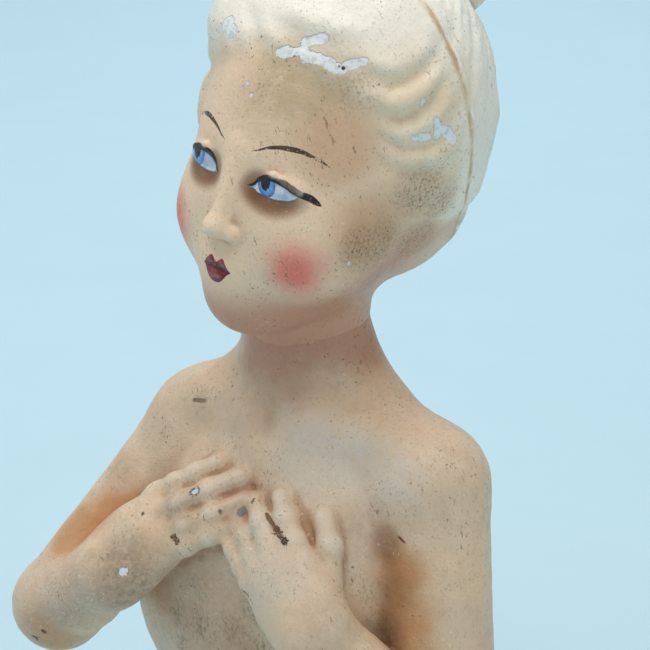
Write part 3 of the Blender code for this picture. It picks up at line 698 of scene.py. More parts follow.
for c, r, d in HEAD_CHIPS:
    q = np.linalg.norm(HV - np.array(c), axis=1) / r + 0.25 * waves(HV, 31, 3.0, 2)
    lump -= d * smooth(1.05, 0.8, q)
lump *= smooth(0.0, -5.0, s_neck)
HV = HV + HN * lump[:, None]
HN = vertex_normals(HV, HT)
rows = np.concatenate([from_head(HV), HN @ HEAD_M.T, hairy[:, None], hcrease[:, None], s_neck[:, None], s_bun[:, None], seam[:, None]], 1)
head_all, _ = cut(rows, HT, rows[:, 8])
knot, head_rest = cut(*head_all, head_all[0][:, 9])
h_front, h_back = cut(*head_rest, head_rest[0][:, 10])
h_front, h_back, knot = drop_crumbs(*h_front), drop_crumbs(*h_back), drop_crumbs(*knot)


# ---------------------------------------------------------------- materials
class Nodes:
    """Short words for building a node tree."""

    def __init__(s, name):
        s.m = bpy.data.materials.new(name)
        s.m.use_nodes = True
        s.t = s.m.node_tree
        s.t.nodes.clear()
        s.out = s.t.nodes.new("ShaderNodeOutputMaterial")
        s.bsdf = s.t.nodes.new("ShaderNodeBsdfPrincipled")
        s.t.links.new(s.bsdf.outputs[0], s.out.inputs[0])
        s.obj = s.t.nodes.new("ShaderNodeTexCoord").outputs["Object"]
        s.P = s.vm("SCALE", s.obj, scale=1000.0)

    def put(s, sock, v):
        if isinstance(v, bpy.types.NodeSocket):
            s.t.links.new(v, sock)
        elif v is not None:
            sock.default_value = v

    def m1(s, op, a, b=None, c=None, clamp=False):
        n = s.t.nodes.new("ShaderNodeMath")
        n.operation, n.use_clamp = op, clamp
        for i, v in enumerate((a, b, c)):
            s.put(n.inputs[i], v)
        return n.outputs[0]

    def add(s, a, b): return s.m1("ADD", a, b)
    def sub(s, a, b): return s.m1("SUBTRACT", a, b)
    def mul(s, a, b): return s.m1("MULTIPLY", a, b)
    def mx(s, a, b): return s.m1("MAXIMUM", a, b)
    def mn(s, a, b): return s.m1("MINIMUM", a, b)

    def vm(s, op, a, b=None, scale=None):
        n = s.t.nodes.new("ShaderNodeVectorMath")
        n.operation = op
        s.put(n.inputs[0], a)
        if b is not None:
            s.put(n.inputs[1], b)
        if scale is not None:
            s.put(n.inputs["Scale"], scale)
        return n.outputs["Value"] if op in ("DOT_PRODUCT", "LENGTH", "DISTANCE") else n.outputs["Vector"]

    def ramp(s, x, a, b, lo=0.0, hi=1.0, kind="SMOOTHSTEP"):
        """x from a to b turned to lo..hi; a may be above b."""
        n = s.t.nodes.new("ShaderNodeMapRange")
        n.interpolation_type = kind
        if a > b:
            a, b, lo, hi = b, a, hi, lo
        for i, v in zip(("Value", "From Min", "From Max", "To Min", "To Max"), (x, a, b, lo, hi)):
            s.put(n.inputs[i], v)
        return n.outputs["Result"]

    def mix(s, f, a, b, how="MIX"):
        n = s.t.nodes.new("ShaderNodeMix")
        n.data_type, n.blend_type = "RGBA", how
        s.put(n.inputs[0], f)
        s.put(n.inputs[6], (*a, 1) if isinstance(a, tuple) else a)
        s.put(n.inputs[7], (*b, 1) if isinstance(b, tuple) else b)
        return n.outputs[2]

    def noise(s, scale, detail=3.0, rough=0.55, vec=None, warp=0.0):
        n = s.t.nodes.new("ShaderNodeTexNoise")
        s.put(n.inputs["Vector"], vec if vec is not None else s.P)
        n.inputs["Scale"].default_value = 1.0 / scale
        n.inputs["Detail"].default_value = detail
        n.inputs["Roughness"].default_value = rough
        n.inputs["Distortion"].default_value = warp
        return n.outputs[0]

    def cells(s, scale, vec=None):
        n = s.t.nodes.new("ShaderNodeTexVoronoi")
        s.put(n.inputs["Vector"], vec if vec is not None else s.P)
        n.inputs["Scale"].default_value = 1.0 / scale
        return n.outputs["Distance"]

    def attr(s, name):
        n = s.t.nodes.new("ShaderNodeAttribute")
        n.attribute_name = name
        return n.outputs["Fac"]

    def xyz(s, v):
        n = s.t.nodes.new("ShaderNodeSeparateXYZ")
        s.put(n.inputs[0], v)
        return n.outputs

    def pack(s, x, y, z):
        n = s.t.nodes.new("ShaderNodeCombineXYZ")
        for i, v in enumerate((x, y, z)):
            s.put(n.inputs[i], v)
        return n.outputs[0]

    def curve(s, x, a, b, pts):
        """Height of a smooth line through pts (x, y) at x; the line runs from x = a to b."""
        n = s.t.nodes.new("ShaderNodeFloatCurve")
        ys = [p[1] for p in pts]
        lo, hi = min(ys) - 0.5, max(ys) + 0.5
        c = n.mapping.curves[0]
        q = [((p[0] - a) / (b - a), (p[1] - lo) / (hi - lo)) for p in pts]
        c.points[0].location, c.points[1].location = q[0], q[-1]
        for p in q[1:-1]:
            c.points.new(*p)
        n.mapping.extend = "HORIZONTAL"
        n.mapping.update()
        s.put(n.inputs["Value"], s.ramp(x, a, b, kind="LINEAR"))
        return s.add(s.mul(n.outputs[0], hi - lo), lo)

    def spot(s, P, c, r, soft=0.3, ragged=None):
        """1 within r mm of c, 0 outside."""
        d = s.vm("DISTANCE", P, tuple(float(q) for q in c))
        if ragged is not None:
            d = s.add(d, ragged)
        return s.ramp(d, r + soft, r - soft)

    def bar(s, P, a, b, r, soft=0.3, ragged=None):
        """1 within r mm of the line from a to b."""
        a, b = np.array(a, float), np.array(b, float)
        d = b - a
        w = s.vm("SUBTRACT", P, tuple(a))
        h = s.m1("MULTIPLY", s.vm("DOT_PRODUCT", w, tuple(d)), 1 / float(d @ d), clamp=True)
        q = s.vm("LENGTH", s.vm("SUBTRACT", w, s.vm("SCALE", tuple(d), scale=h)))
        if ragged is not None:
            q = s.add(q, ragged)
        return s.ramp(q, r + soft, r - soft)

    def bump(s, height, dist, strength=1.0, normal=None):
        n = s.t.nodes.new("ShaderNodeBump")
        n.inputs["Strength"].default_value = strength
        n.inputs["Distance"].default_value = dist * 0.001
        s.put(n.inputs["Height"], height)
        if normal is not None:
            s.put(n.inputs["Normal"], normal)
        return n.outputs[0]

    def set(s, **kw):
        for k, v in kw.items():
            s.put(s.bsdf.inputs[k.replace("_", " ")], (*v, 1) if isinstance(v, tuple) and len(v) == 3 else v)
        return s.m


def lin(r, g, b):
    """Colour given as 0-255 display values."""
    f = lambda c: c / 12.92 if c <= 0.04045 else ((c + 0.055) / 1.055) ** 2.4
    return tuple(f(c / 255) for c in (r, g, b))


def plaster_paint(name, skin=True, head=False, hands=False):
    n = Nodes(name)
    P = n.P
    big, mid, fine, grit = n.noise(34, 3), n.noise(9, 4), n.noise(2.2, 5, 0.65), n.noise(0.75, 4, 0.7)
    # skin: peach with dusty and pinker patches
    base = n.mix(n.ramp(big, 0.38, 0.62), lin(228, 197, 162), lin(218, 192, 164))
    base = n.mix(n.mul(n.ramp(mid, 0.40, 0.70), 0.6), base, lin(230, 208, 180))
    base = n.mix(n.mul(n.ramp(n.noise(4.2, 4, 0.65), 0.50, 0.66), 0.35), base, lin(208, 174, 140))
    hairc = n.mix(n.ramp(mid, 0.35, 0.7), lin(236, 217, 184), lin(244, 232, 208))
    hairc = n.mix(n.mul(n.ramp(big, 0.45, 0.70), 0.6), hairc, lin(222, 196, 158))
    # hair painted paler over the top and towards the back: painted highlight where the light falls; darker cream again
    # at the very back
    zc = n.xyz(P)[2]
    hairc = n.mix(n.mul(n.ramp(n.add(zc, n.mul(big, 8.0)), 227, 242), 0.85), hairc, lin(250, 246, 232))
    yc = n.xyz(P)[1]
    hairc = n.mix(n.mul(n.ramp(n.add(yc, n.mul(mid, 8.0)), 8, 22), 0.80), hairc, lin(252, 250, 236))
    hairc = n.mix(n.mul(n.ramp(n.add(yc, n.mul(mid, 8.0)), 30, 44), 0.75), hairc, lin(236, 220, 186))
    hair = n.attr("hair")
    col = n.mix(hair, base, hairc)
    crease = n.attr("crease")
    # crease depth drives the painted shade in the creases; ridge height drives the rubbed-pale wear
    deep = n.ramp(crease, 0.008, 0.05)
    worn = n.ramp(crease, -0.012, -0.05)
    marks = []                                                   # (mask, colour)
    if head:
        col, marks, gloss, reliefs = head_paint(n, col, fine, grit)
    else:
        col, marks, gloss, reliefs = body_paint(n, col, fine, grit, mid)
    # painted shade darkening the creases, paint rubbed pale on the ridges
    col = n.mix(n.mul(deep, 0.60), col, n.mix(1.0, col, lin(184, 132, 88), "MULTIPLY"))
    col = n.mix(n.mul(worn, 0.42), col, lin(240, 228, 208))
    # fine speckle of grime over all of it
    speck = n.mul(n.ramp(n.cells(2.3, n.vm("ADD", P, n.vm("SCALE", n.pack(fine, grit, mid), scale=1.6))), 0.15, 0.04), n.ramp(n.noise(12, 2), 0.46, 0.62))
    col = n.mix(n.mul(speck, 0.8), col, lin(112, 80, 50))
    xs_, ys_, zs_ = n.xyz(P)
    nick = n.noise(1.1, 4, 0.7, n.pack(n.add(n.mul(xs_, 1.0), n.mul(zs_, 0.5)), ys_, n.mul(n.sub(zs_, n.mul(xs_, 0.5)), 0.35)))
    col = n.mix(n.mul(n.mul(n.ramp(nick, 0.61, 0.66), n.ramp(n.noise(18, 3), 0.42, 0.6)), 0.7), col, lin(128, 96, 64))
    tiny = n.mul(n.ramp(grit, 0.56, 0.70), n.ramp(mid, 0.35, 0.60, 0.35, 1.0))
    col = n.mix(n.mul(tiny, 0.66), col, lin(156, 122, 90))
    pale = n.mul(n.ramp(n.noise(0.9, 3, 0.6), 0.58, 0.70), n.ramp(n.noise(16, 2), 0.45, 0.66))
    col = n.mix(n.mul(pale, 0.50), col, lin(240, 232, 218))
    for mask, c in marks:
        col = n.mix(mask, col, c)
    rough = n.ramp(fine, 0.3, 0.7, 0.34, 0.56)
    rough = n.mix(gloss, n.pack(rough, rough, rough), (0.22, 0.22, 0.22)) if gloss is not None else rough
    h = n.add(n.mul(fine, 0.8), n.mul(grit, 0.5))
    h = n.add(h, n.mul(n.noise(5.5, 2), 0.9))
    h = n.sub(h, n.mul(speck, 0.5))
    for mask, up in reliefs:
        h = n.add(h, n.mul(mask, up))
    n.set(Base_Color=col, Roughness=rough, Normal=n.bump(h, 0.33, 0.9))
    n.bsdf.inputs["Specular IOR Level"].default_value = 0.5
    return n.m


def head_paint(n, col, fine, grit):
    """Everything painted on the head, in its own frame: face, then chips and dirt."""
    C = tuple(float(v) for v in HEAD_C)
    w = n.vm("SUBTRACT", n.P, C)
    hx_, hy_, hz_ = [n.vm("DOT_PRODUCT", w, tuple(float(v) for v in HEAD_M[:, i])) for i in range(3)]
    P = n.pack(hx_, hy_, hz_)
    # the face's own frame, which leans further
    FM, off = HEAD_M @ FACE_M, FACE_M.T @ FACE_C
    x, y, z = [n.sub(n.vm("DOT_PRODUCT", w, tuple(float(v) for v in FM[:, i])), float(off[i])) for i in range(3)]
    PF = n.pack(x, y, z)
    front = n.ramp(y, -12, -20)
    wob = n.mul(n.sub(n.noise(1.6, 3), 0.5), 0.35)
    rag = n.add(n.mul(n.sub(n.noise(3.0, 3, 0.5), 0.5), 3.0), n.mul(n.sub(n.noise(0.8, 3, 0.6), 0.5), 1.1))
    # pale peach over the front of the face from the brows down, fading up the forehead: painted highlight where the
    # face turns to the light
    skinmask = n.sub(1.0, n.attr("hair"))
    col = n.mix(n.mul(n.mul(n.mul(n.ramp(z, 36, 12), n.ramp(hy_, 4, -10)), 0.80), skinmask), col, lin(250, 219, 186))
    tan = n.mul(n.ramp(n.vm("DISTANCE", P, (12.0, -26.0, 24.0)), 20.0, 6.0), n.ramp(n.noise(7, 4), 0.25, 0.60, 0.45, 1.0))
    col = n.mix(n.mul(tan, 0.72), col, lin(186, 162, 124))
    # painted shade under the jaw and chin
    under = n.mul(n.ramp(n.add(z, n.mul(y, -0.55)), -6, -20), n.ramp(hy_, 14, -4))
    col = n.mix(n.mul(n.mul(under, 0.85), skinmask), col, lin(198, 138, 110))
    # painted shade low on the head towards the nape, in the warm tone of the painted shade on the neck
    low = n.mul(n.ramp(n.add(hz_, n.mul(n.sub(n.noise(9, 3), 0.5), 5.0)), -20, -38), n.ramp(hy_, -16, -2))
    col = n.mix(n.mul(n.mul(low, 0.75), skinmask), col, lin(206, 160, 130))
    ear = n.mx(n.ramp(n.vm("DISTANCE", P, (25.0, -14.0, -11.0)), 17.0, 4.0), n.mul(n.ramp(n.vm("DISTANCE", P, (22.0, -21.0, 10.0)), 14.0, 4.0), 0.8))
    col = n.mix(n.mul(n.mul(ear, 0.75), n.m1("ADD", n.mul(skinmask, 0.6), 0.4)), col, lin(204, 158, 116))
    gloss = None
    for s in (-1, 1):
        t = n.mul(n.sub(x, 12.0 * s), float(s))                  # outward across the eye
        near = n.mul(front, n.ramp(n.m1("ABSOLUTE", n.sub(x, 12.0 * s)), 14, 12))
        # brown shading round the eye
        e = n.add(n.m1("POWER", n.m1("ABSOLUTE", n.mul(n.add(t, 0.6), 1 / 8.2)), 2.0), n.m1("POWER", n.m1("ABSOLUTE", n.mul(n.add(z, 1.8), 1 / 5.2)), 2.0))
        shade = n.mul(n.ramp(e, 1.35, 0.2), n.mul(near, 0.92))
        col = n.mix(shade, col, lin(128, 78, 34))
        e = n.add(n.m1("POWER", n.m1("ABSOLUTE", n.mul(n.add(t, 4.8), 1 / 4.2)), 2.0), n.m1("POWER", n.m1("ABSOLUTE", n.mul(n.add(z, 0.2), 1 / 4.4)), 2.0))
        col = n.mix(n.mul(n.ramp(e, 1.3, 0.2), n.mul(near, 0.55)), col, lin(112, 66, 34))
        up = n.curve(t, -8, 10, [(-8, -1.2), (-6.2, -1.0), (-4.5, 0.9), (-1.2, 2.3), (2.0, 2.1), (4.6, 1.1), (6.6, -0.1), (10, -1.6)])
        dn = n.curve(t, -8, 10, [(-8, -1.2), (-6.2, -1.2), (-4.0, -2.0), (-0.5, -2.3), (3.0, -1.9), (5.2, -1.1), (6.6, -0.1), (10, -1.6)])
        zz = n.add(z, wob)
        inside = n.mul(n.ramp(n.sub(up, zz), -0.08, 0.08), n.ramp(n.sub(zz, dn), -0.08, 0.08))
        inside = n.mul(inside, n.mul(near, n.mul(n.ramp(t, -6.5, -6.2), n.ramp(t, 6.9, 6.6))))
        white = n.mix(n.ramp(n.noise(3.0, 2), 0.4, 0.65), lin(216, 226, 238), lin(186, 200, 220))
        # eye white painted greyer just under the upper lid: painted shade of the lid
        white = n.mix(n.mul(n.ramp(n.sub(up, zz), 1.3, 0.1), 0.55), white, lin(110, 112, 130))
        ix, iz = 12.0 * s - 2.0, 0.35
        d = n.m1("SQRT", n.add(n.m1("POWER", n.sub(x, ix), 2.0), n.m1("POWER", n.sub(z, iz), 2.0)))
        iris = n.mix(n.ramp(d, 1.7, 2.5), lin(96, 158, 226), lin(58, 106, 178))
        iris = n.mix(n.mul(n.ramp(n.noise(0.8, 3), 0.4, 0.65), 0.4), iris, lin(140, 190, 240))
        white = n.mix(n.ramp(d, 2.75, 2.6), white, iris)
        d2 = n.m1("SQRT", n.add(n.m1("POWER", n.sub(x, ix - 0.5), 2.0), n.m1("POWER", n.mul(n.sub(z, iz + 0.55), 0.8), 2.0)))
        white = n.mix(n.ramp(d2, 1.55, 1.35), white, lin(14, 14, 24))
        # small pale spot low on the iris: a painted highlight
        d3 = n.m1("SQRT", n.add(n.m1("POWER", n.sub(x, ix + 0.55), 2.0), n.m1("POWER", n.sub(z, iz - 0.75), 2.0)))
        white = n.mix(n.mul(n.ramp(d3, 0.42, 0.25), 0.55), white, lin(186, 206, 236))
        col = n.mix(inside, col, white)
        # lash line with its outward stroke, and the thin lower edge
        lash = n.curve(t, -8, 10, [(-8, -1.0), (-6.4, -0.7), (-4.6, 1.15), (-1.2, 2.6), (2.0, 2.4), (4.8, 1.3), (7.0, 0.0), (10, -1.9)])
        fat = n.curve(t, -8, 10, [(-8, -0.3), (-6.9, 0.1), (-5, 0.6), (-1, 0.8), (2.5, 0.75), (5.5, 0.85), (8.4, 0.7), (9.6, 0.1), (10, -0.4)])
        wear = n.ramp(n.noise(1.1, 4, 0.7), 0.70, 0.66)
        lm = n.mul(n.ramp(n.sub(fat, n.m1("ABSOLUTE", n.sub(zz, lash))), -0.10, 0.10), n.mul(near, wear))
        col = n.mix(lm, col, lin(24, 16, 18))
        low = n.mul(n.ramp(n.m1("ABSOLUTE", n.sub(zz, dn)), 0.30, 0.12), n.mul(near, n.mul(n.ramp(t, -6.6, -5), n.ramp(t, 6.8, 5.4))))
        col = n.mix(n.mul(low, 0.55), col, lin(70, 50, 48))
        # brow: one thin tapering stroke, broken up at its outer end
        bz = n.curve(t, -9, 11, [(-9, 6.8), (-6.5, 7.8), (-2, 9.7), (2, 10.1), (6, 9.0), (9.5, 6.9), (11, 5.8)])
        bf = n.curve(t, -9, 11, [(-9, -0.4), (-7, 0.12), (-3, 0.42), (1.5, 0.62), (5, 0.45), (8.2, 0.22), (10, -0.3), (11, -0.4)])
        bw = n.ramp(n.add(n.noise(0.9, 4, 0.75), n.mul(n.ramp(t, 2, 9), 0.10)), 0.64, 0.58)
        bm = n.mul(n.ramp(n.sub(bf, n.m1("ABSOLUTE", n.sub(zz, bz))), -0.10, 0.12), n.mul(near, bw))
        col = n.mix(n.mul(bm, 0.95), col, lin(52, 24, 16))
        # rouge
        d = n.vm("DISTANCE", PF, (19.0 * s, -27.0, -17.5))
        rouge = n.mul(n.ramp(n.add(d, n.mul(n.sub(n.noise(5, 3), 0.5), 3.0)), 10.5, 2.0), 0.82)
        col = n.mix(rouge, col, lin(234, 96, 88))
        # nostril shade
        d = n.vm("DISTANCE", PF, (2.3 * s, -35.0, -15.2))
        col = n.mix(n.mul(n.ramp(d, 2.2, 0.6), 0.5), col, lin(150, 96, 70))
        if s == 1:
            gl = inside
        else:
            gloss = inside
    gloss = n.mx(gl, gloss)
    # bow mouth
    ax = n.m1("ABSOLUTE", x)
    lt = n.curve(ax, 0, 6, [(0, -21.6), (0.8, -21.2), (1.8, -20.6), (2.9, -21.4), (3.9, -22.7), (4.6, -23.4), (6, -24.2)])
    lb = n.curve(ax, 0, 6, [(0, -27.0), (1.4, -26.7), (2.6, -25.6), (3.6, -24.2), (4.6, -23.4), (6, -22.6)])
    zl = n.add(z, n.mul(n.sub(n.noise(1.3, 3), 0.5), 0.7))
    lips = n.mul(n.mul(n.ramp(n.sub(lt, zl), -0.1, 0.1), n.ramp(n.sub(zl, lb), -0.1, 0.1)), n.ramp(y, -25, -28))
    red = n.mix(n.ramp(n.noise(1.4, 3), 0.40, 0.66), lin(150, 14, 38), lin(104, 8, 26))
    red = n.mix(n.ramp(n.m1("ABSOLUTE", n.add(z, 23.3)), 0.55, 0.1), red, lin(60, 4, 14))
    col = n.mix(lips, col, red)
    gloss = n.mx(gloss, n.mul(lips, 0.9))
    marks = []
    # chips down to the white, with ragged edges
    chip = None
    for kind, pts, r in HEAD_WHITE:
        m = n.spot(P, pts[0], r + 0.15, 0.12, rag) if kind == "spot" else n.bar(P, pts[0], pts[1], r + 0.15, 0.12, rag)
        chip = m if chip is None else n.mx(chip, m)
    grey = n.mix(n.ramp(n.noise(1.3, 4), 0.46, 0.66), lin(240, 244, 244), lin(214, 220, 222))
    marks.append((chip, grey))
    for a, b, r in HEAD_SCRATCH:
        marks.append((n.mul(n.bar(P, a, b, r, 0.14, n.mul(rag, 0.10)), 0.85), lin(240, 240, 232)))
    for c, r in HEAD_BLACK:
        marks.append((n.spot(P, c, r, 0.15, n.mul(rag, 0.16)), lin(22, 18, 16)))
    # dirt pressed into the combed hair low at the side, and over the nape
    dirt = None
    for c, r, k in HEAD_DIRT:
        m = n.mul(n.ramp(n.vm("DISTANCE", P, c), r, r * 0.25), k)
        dirt = m if dirt is None else n.mx(dirt, m)
    dust = n.ramp(n.noise(0.8, 5, 0.75), 0.50, 0.60)
    marks.append((n.mul(dirt, 0.38), lin(176, 136, 104)))
    marks.append((n.mul(n.mul(dirt, dust), 0.60), lin(122, 88, 58)))
    marks.append((n.mul(n.mul(n.ramp(dirt, 0.3, 0.9), n.ramp(n.cells(1.5, n.vm("ADD", P, n.vm("SCALE", n.pack(fine, grit, fine), scale=0.8))), 0.26, 0.10)), 0.8), lin(84, 58, 36)))
    # the mould seam: a rusty line with white flecks beside it
    lean = math.radians(HEAD_LEAN)
    sp = n.add(n.mul(n.sub(hy_, HEAD_PARTING_Y), math.cos(lean)), n.mul(hz_, math.sin(lean)))
    sp = n.add(sp, n.mul(n.sub(n.noise(7, 2), 0.5), 0.8))
    up_ = n.ramp(hz_, -24, -18)
    marks.append((n.mul(n.mul(n.ramp(n.m1("ABSOLUTE", n.add(sp, 0.4)), 1.6, 0.2), up_), n.ramp(n.noise(6, 3), 0.38, 0.6, 0.25, 0.8)), lin(204, 166, 116)))
    marks.append((n.mul(n.mul(n.ramp(n.m1("ABSOLUTE", sp), 0.45, 0.1), up_), n.ramp(n.noise(4, 3), 0.42, 0.62, 0.0, 0.45)), lin(172, 128, 82)))
    marks.append((n.mul(n.mul(n.ramp(n.m1("ABSOLUTE", n.sub(sp, 0.9)), 0.55, 0.2), up_), n.ramp(n.noise(6, 4, 0.7), 0.50, 0.54)), lin(246, 244, 236)))
    return col, marks, gloss, [(chip, -0.9), (lips, 0.25), (inside, 0.15)]


def body_paint(n, col, fine, grit, mid):
    P = n.P
    rag = n.mul(n.sub(n.noise(2.0, 5, 0.7), 0.5), 2.4)
    marks = []
    # painted warm shade in the crooks of the arms and the armpits, under the jaw and round the neck
    for c, r, k, tint in WARM_SHADE_SPOTS:
        d = n.add(n.vm("DISTANCE", P, c), n.mul(n.sub(n.noise(8, 3), 0.5), r * 0.5))
        col = n.mix(n.mul(n.ramp(d, r, r * 0.3), k), col, tint)
    # pale speckled patches on the upper chest and the left hand, partly dust and partly painted sheen; darker pinkish
    # grey patches under the hands and on the arms, painted shade
    for c, r, k, tint in PATCHES_OF_DUST_SHEEN_AND_SHADE:
        d = n.add(n.vm("DISTANCE", P, c), n.mul(n.sub(n.noise(6, 3), 0.5), r * 0.6))
        m = n.mul(n.ramp(d, r, r * 0.3), k)
        col = n.mix(n.mul(m, n.ramp(n.noise(1.6, 5, 0.7), 0.30, 0.62, 0.45, 1.0)), col, tint)
    grime, pits = None, None
    for c, r, k in GRIME:
        m = n.mul(n.ramp(n.vm("DISTANCE", P, tuple(float(v) for v in c)), r, r * 0.2), k)
        grime = m if grime is None else n.mx(grime, m)
    xs, ys, zs = n.xyz(P)
    slant = n.noise(0.9, 5, 0.72, n.pack(n.add(xs, n.mul(zs, 0.25)), ys, n.add(n.mul(zs, 0.55), n.mul(xs, -0.12))))
    marks.append((n.mul(n.mul(grime, n.ramp(slant, 0.50, 0.60)), 0.75), lin(118, 98, 66)))
    marks.append((n.mul(grime, 0.22), lin(164, 130, 100)))
    for a, b, r, c in BODY_MARKS:
        if c in (BR, DK) or r >= 0.8:
            ragged = n.mul(n.sub(n.noise(0.9, 4, 0.7), 0.5), 2.6 * r + 0.5)
            m = n.mul(n.bar(P, a, b, r, 0.14, ragged), n.ramp(n.noise(0.55, 3, 0.6), 0.36, 0.50, 0.35, 1.0) if c != WHITE else 1.0)
        else:
            m = n.bar(P, a, b, r, 0.16, n.mul(rag, 0.25 * r + 0.1))
        marks.append((m, c))
        pits = m if pits is None else n.mx(pits, m)
    return col, marks, None, [(pits, -0.8)]


# ---------------------------------------------------------------- wear: places in the head's frame
HEAD_CHIPS[:] = []
HEAD_WHITE = [
    ("bar", [(-14.9, -20.3, 31.6), (-13.6, -20.8, 30.6)], 2.3),
    ("bar", [(4.2, -23.4, 29.6), (10.2, -22.1, 31.4)], 1.15), ("bar", [(9.0, -22.0, 32.8), (13.3, -18.9, 34.4)], 1.0),
    ("bar", [(10.6, -22.0, 30.4), (18.9, -18.8, 28.4)], 1.35), ("bar", [(18.9, -18.8, 28.6), (22.7, -14.1, 30.2)], 1.0),
    ("bar", [(32.4, -6.1, 12.7), (33.5, -2.7, 12.3)], 1.0), ("bar", [(33.8, -0.1, 16.0), (34.2, 0.2, 11.9)], 1.25),
    ("bar", [(34.4, 1.4, 13.4), (34.6, 3.0, 12.4)], 1.2), ("bar", [(34.6, 3.2, 12.6), (34.9, 5.1, 10.4)], 1.0),
    ("spot", [(32.1, -3.7, 20.4)], 1.0), ("spot", [(23.1, -16.8, -18.8)], 0.8), ("spot", [(26.4, -20.3, -17.1)], 0.6),
    ("spot", [(-2.3, -28.7, 20.8)], 0.6), ("spot", [(0.9, -29.3, 19.7)], 0.35), ("spot", [(-1.5, -28.2, 21.9)], 0.5),
]
HEAD_SCRATCH = [
    ((30.2, 20.6, 25.7), (32.4, 19.3, 19.7), 0.45), ((-21.0, -17.9, 25.9), (-15.7, -21.9, 23.0), 0.16),
    ((28.0, 2.0, 37.0), (29.6, 3.0, 33.0), 0.22), ((30.0, 7.6, 30.6), (31.6, 8.6, 26.0), 0.35), ((32.6, 9.8, 24.0), (34.0, 11.8, 17.0), 0.30),
]
HEAD_BLACK = [((32.3, -0.9, 22.6), 0.35), ((32.5, -1.2, 21.8), 0.45), ((32.6, -1.4, 21.1), 0.4), ((33.8, 1.8, 18.1), 0.35), ((33.9, 1.1, 16.9), 0.4), ((19.5, -18.3, 28.5), 0.5), ((18.6, -18.8, 28.8), 0.3)]
HEAD_DIRT = [((32.1, -2.5, -1.5), 10.0, 0.95), ((32.6, 4.7, -5.0), 8.0, 0.8), ((27.2, -18.0, -13.5), 8.0, 0.95), ((28.5, -10.6, -15.0), 10.0, 0.9),
             ((29.5, 2.0, -17.0), 10.0, 0.75), ((-1.0, -30.0, 18.0), 10.0, 0.25), ((24.0, -17.0, 24.0), 9.0, 0.45), ((-31.0, -4.0, -2.0), 12.0, 0.7),
             ((-20.0, 36.0, 4.0), 16.0, 0.5), ((12.0, 42.0, -4.0), 15.0, 0.5), ((-27.0, -10.0, -15.0), 10.0, 0.7), ((22.0, -4.0, -27.0), 10.0, 0.5)]
# world millimetres
CROOK_SHADE_ORANGE, RUST, PINK, PALE_DUST_AND_SHEEN, GREY = lin(198, 140, 84), lin(170, 104, 58), lin(186, 150, 128), lin(222, 210, 194), lin(150, 146, 140)
# painted warm shade: place, radius, strength, colour
WARM_SHADE_SPOTS = [
    ((-42, -25, 103), 12, 0.9, CROOK_SHADE_ORANGE), ((-37, -19, 107.5), 7, 0.5, CROOK_SHADE_ORANGE), ((-50, -29, 96), 12, 0.85, CROOK_SHADE_ORANGE), ((40, -12.5, 103), 10, 0.75, lin(196, 132, 74)),
    ((42, -14, 93), 11, 0.7, lin(204, 146, 92)), ((45, -15, 84), 11, 0.6, lin(204, 146, 92)), ((35, -12, 109.5), 7, 0.75, lin(160, 108, 62)),
    ((-30, -22, 84), 9, 0.5, CROOK_SHADE_ORANGE), ((-52, -40, 73), 12, 0.55, lin(176, 122, 72)), ((0, -8, 156), 20, 0.80, lin(186, 130, 104)), ((14, 2, 156), 17, 0.75, lin(186, 130, 104)), ((0, 0, 170), 22, 0.6, lin(194, 138, 110)),
    ((0, -10, 146), 15, 0.45, lin(190, 146, 120)), ((-33, 6, 90), 18, 0.45, CROOK_SHADE_ORANGE), ((44, 8, 70), 16, 0.35, CROOK_SHADE_ORANGE), ((-14, 14, 154), 18, 0.35, lin(190, 144, 114)), ((8, 18, 162), 22, 0.55, lin(200, 154, 124)), ((-8, 18, 166), 20, 0.5, lin(200, 154, 124)),
]
# pale patches partly dust and partly painted sheen, darker ones painted shade: place, radius, strength, colour
PATCHES_OF_DUST_SHEEN_AND_SHADE = [
    ((15, -15, 130), 17, 0.85, PALE_DUST_AND_SHEEN), ((30, -11, 127), 14, 0.8, PALE_DUST_AND_SHEEN), ((38, -8, 124), 9, 0.7, PALE_DUST_AND_SHEEN), ((0, -24, 116), 12, 0.45, PINK), ((-12, -26, 84), 24, 0.6, lin(196, 158, 132)),
    ((39, -14, 98), 8, 0.5, lin(160, 128, 96)), ((37, -14, 86), 9, 0.6, lin(140, 122, 102)), ((-27, -37, 95), 15, 0.75, lin(152, 130, 108)), ((-44, -19, 113), 8, 0.75, lin(188, 158, 128)), ((-1, -25, 78), 9, 0.5, lin(176, 138, 102)), ((-17, -24, 82), 7, 0.5, lin(206, 166, 136)), ((-40, -44, 86), 15, 0.6, lin(176, 154, 136)),
    ((-17, -29, 113), 9, 0.7, lin(178, 154, 130)), ((34, -35, 97), 11, 0.6, lin(184, 164, 140)), ((28, -19, 106), 7, 0.8, lin(232, 212, 184)), ((29, -19, 95), 8, 0.85, lin(236, 212, 180)),
    ((8, -27, 114), 8, 0.6, lin(230, 218, 196)), ((-38, -12, 124), 9, 0.55, lin(190, 168, 142)), ((-33, -15, 115), 6, 0.5, lin(190, 168, 142)),
    ((14, -34, 102), 16, 0.55, lin(220, 208, 188)), ((-26, -10, 134), 9, 0.35, lin(200, 170, 136)), ((-30, -4, 128), 14, 0.35, lin(214, 194, 170)), ((30, -16, 112), 12, 0.45, lin(178, 160, 142)),
]
BR, DK, WHITE = lin(104, 70, 38), lin(42, 30, 22), lin(236, 238, 240)
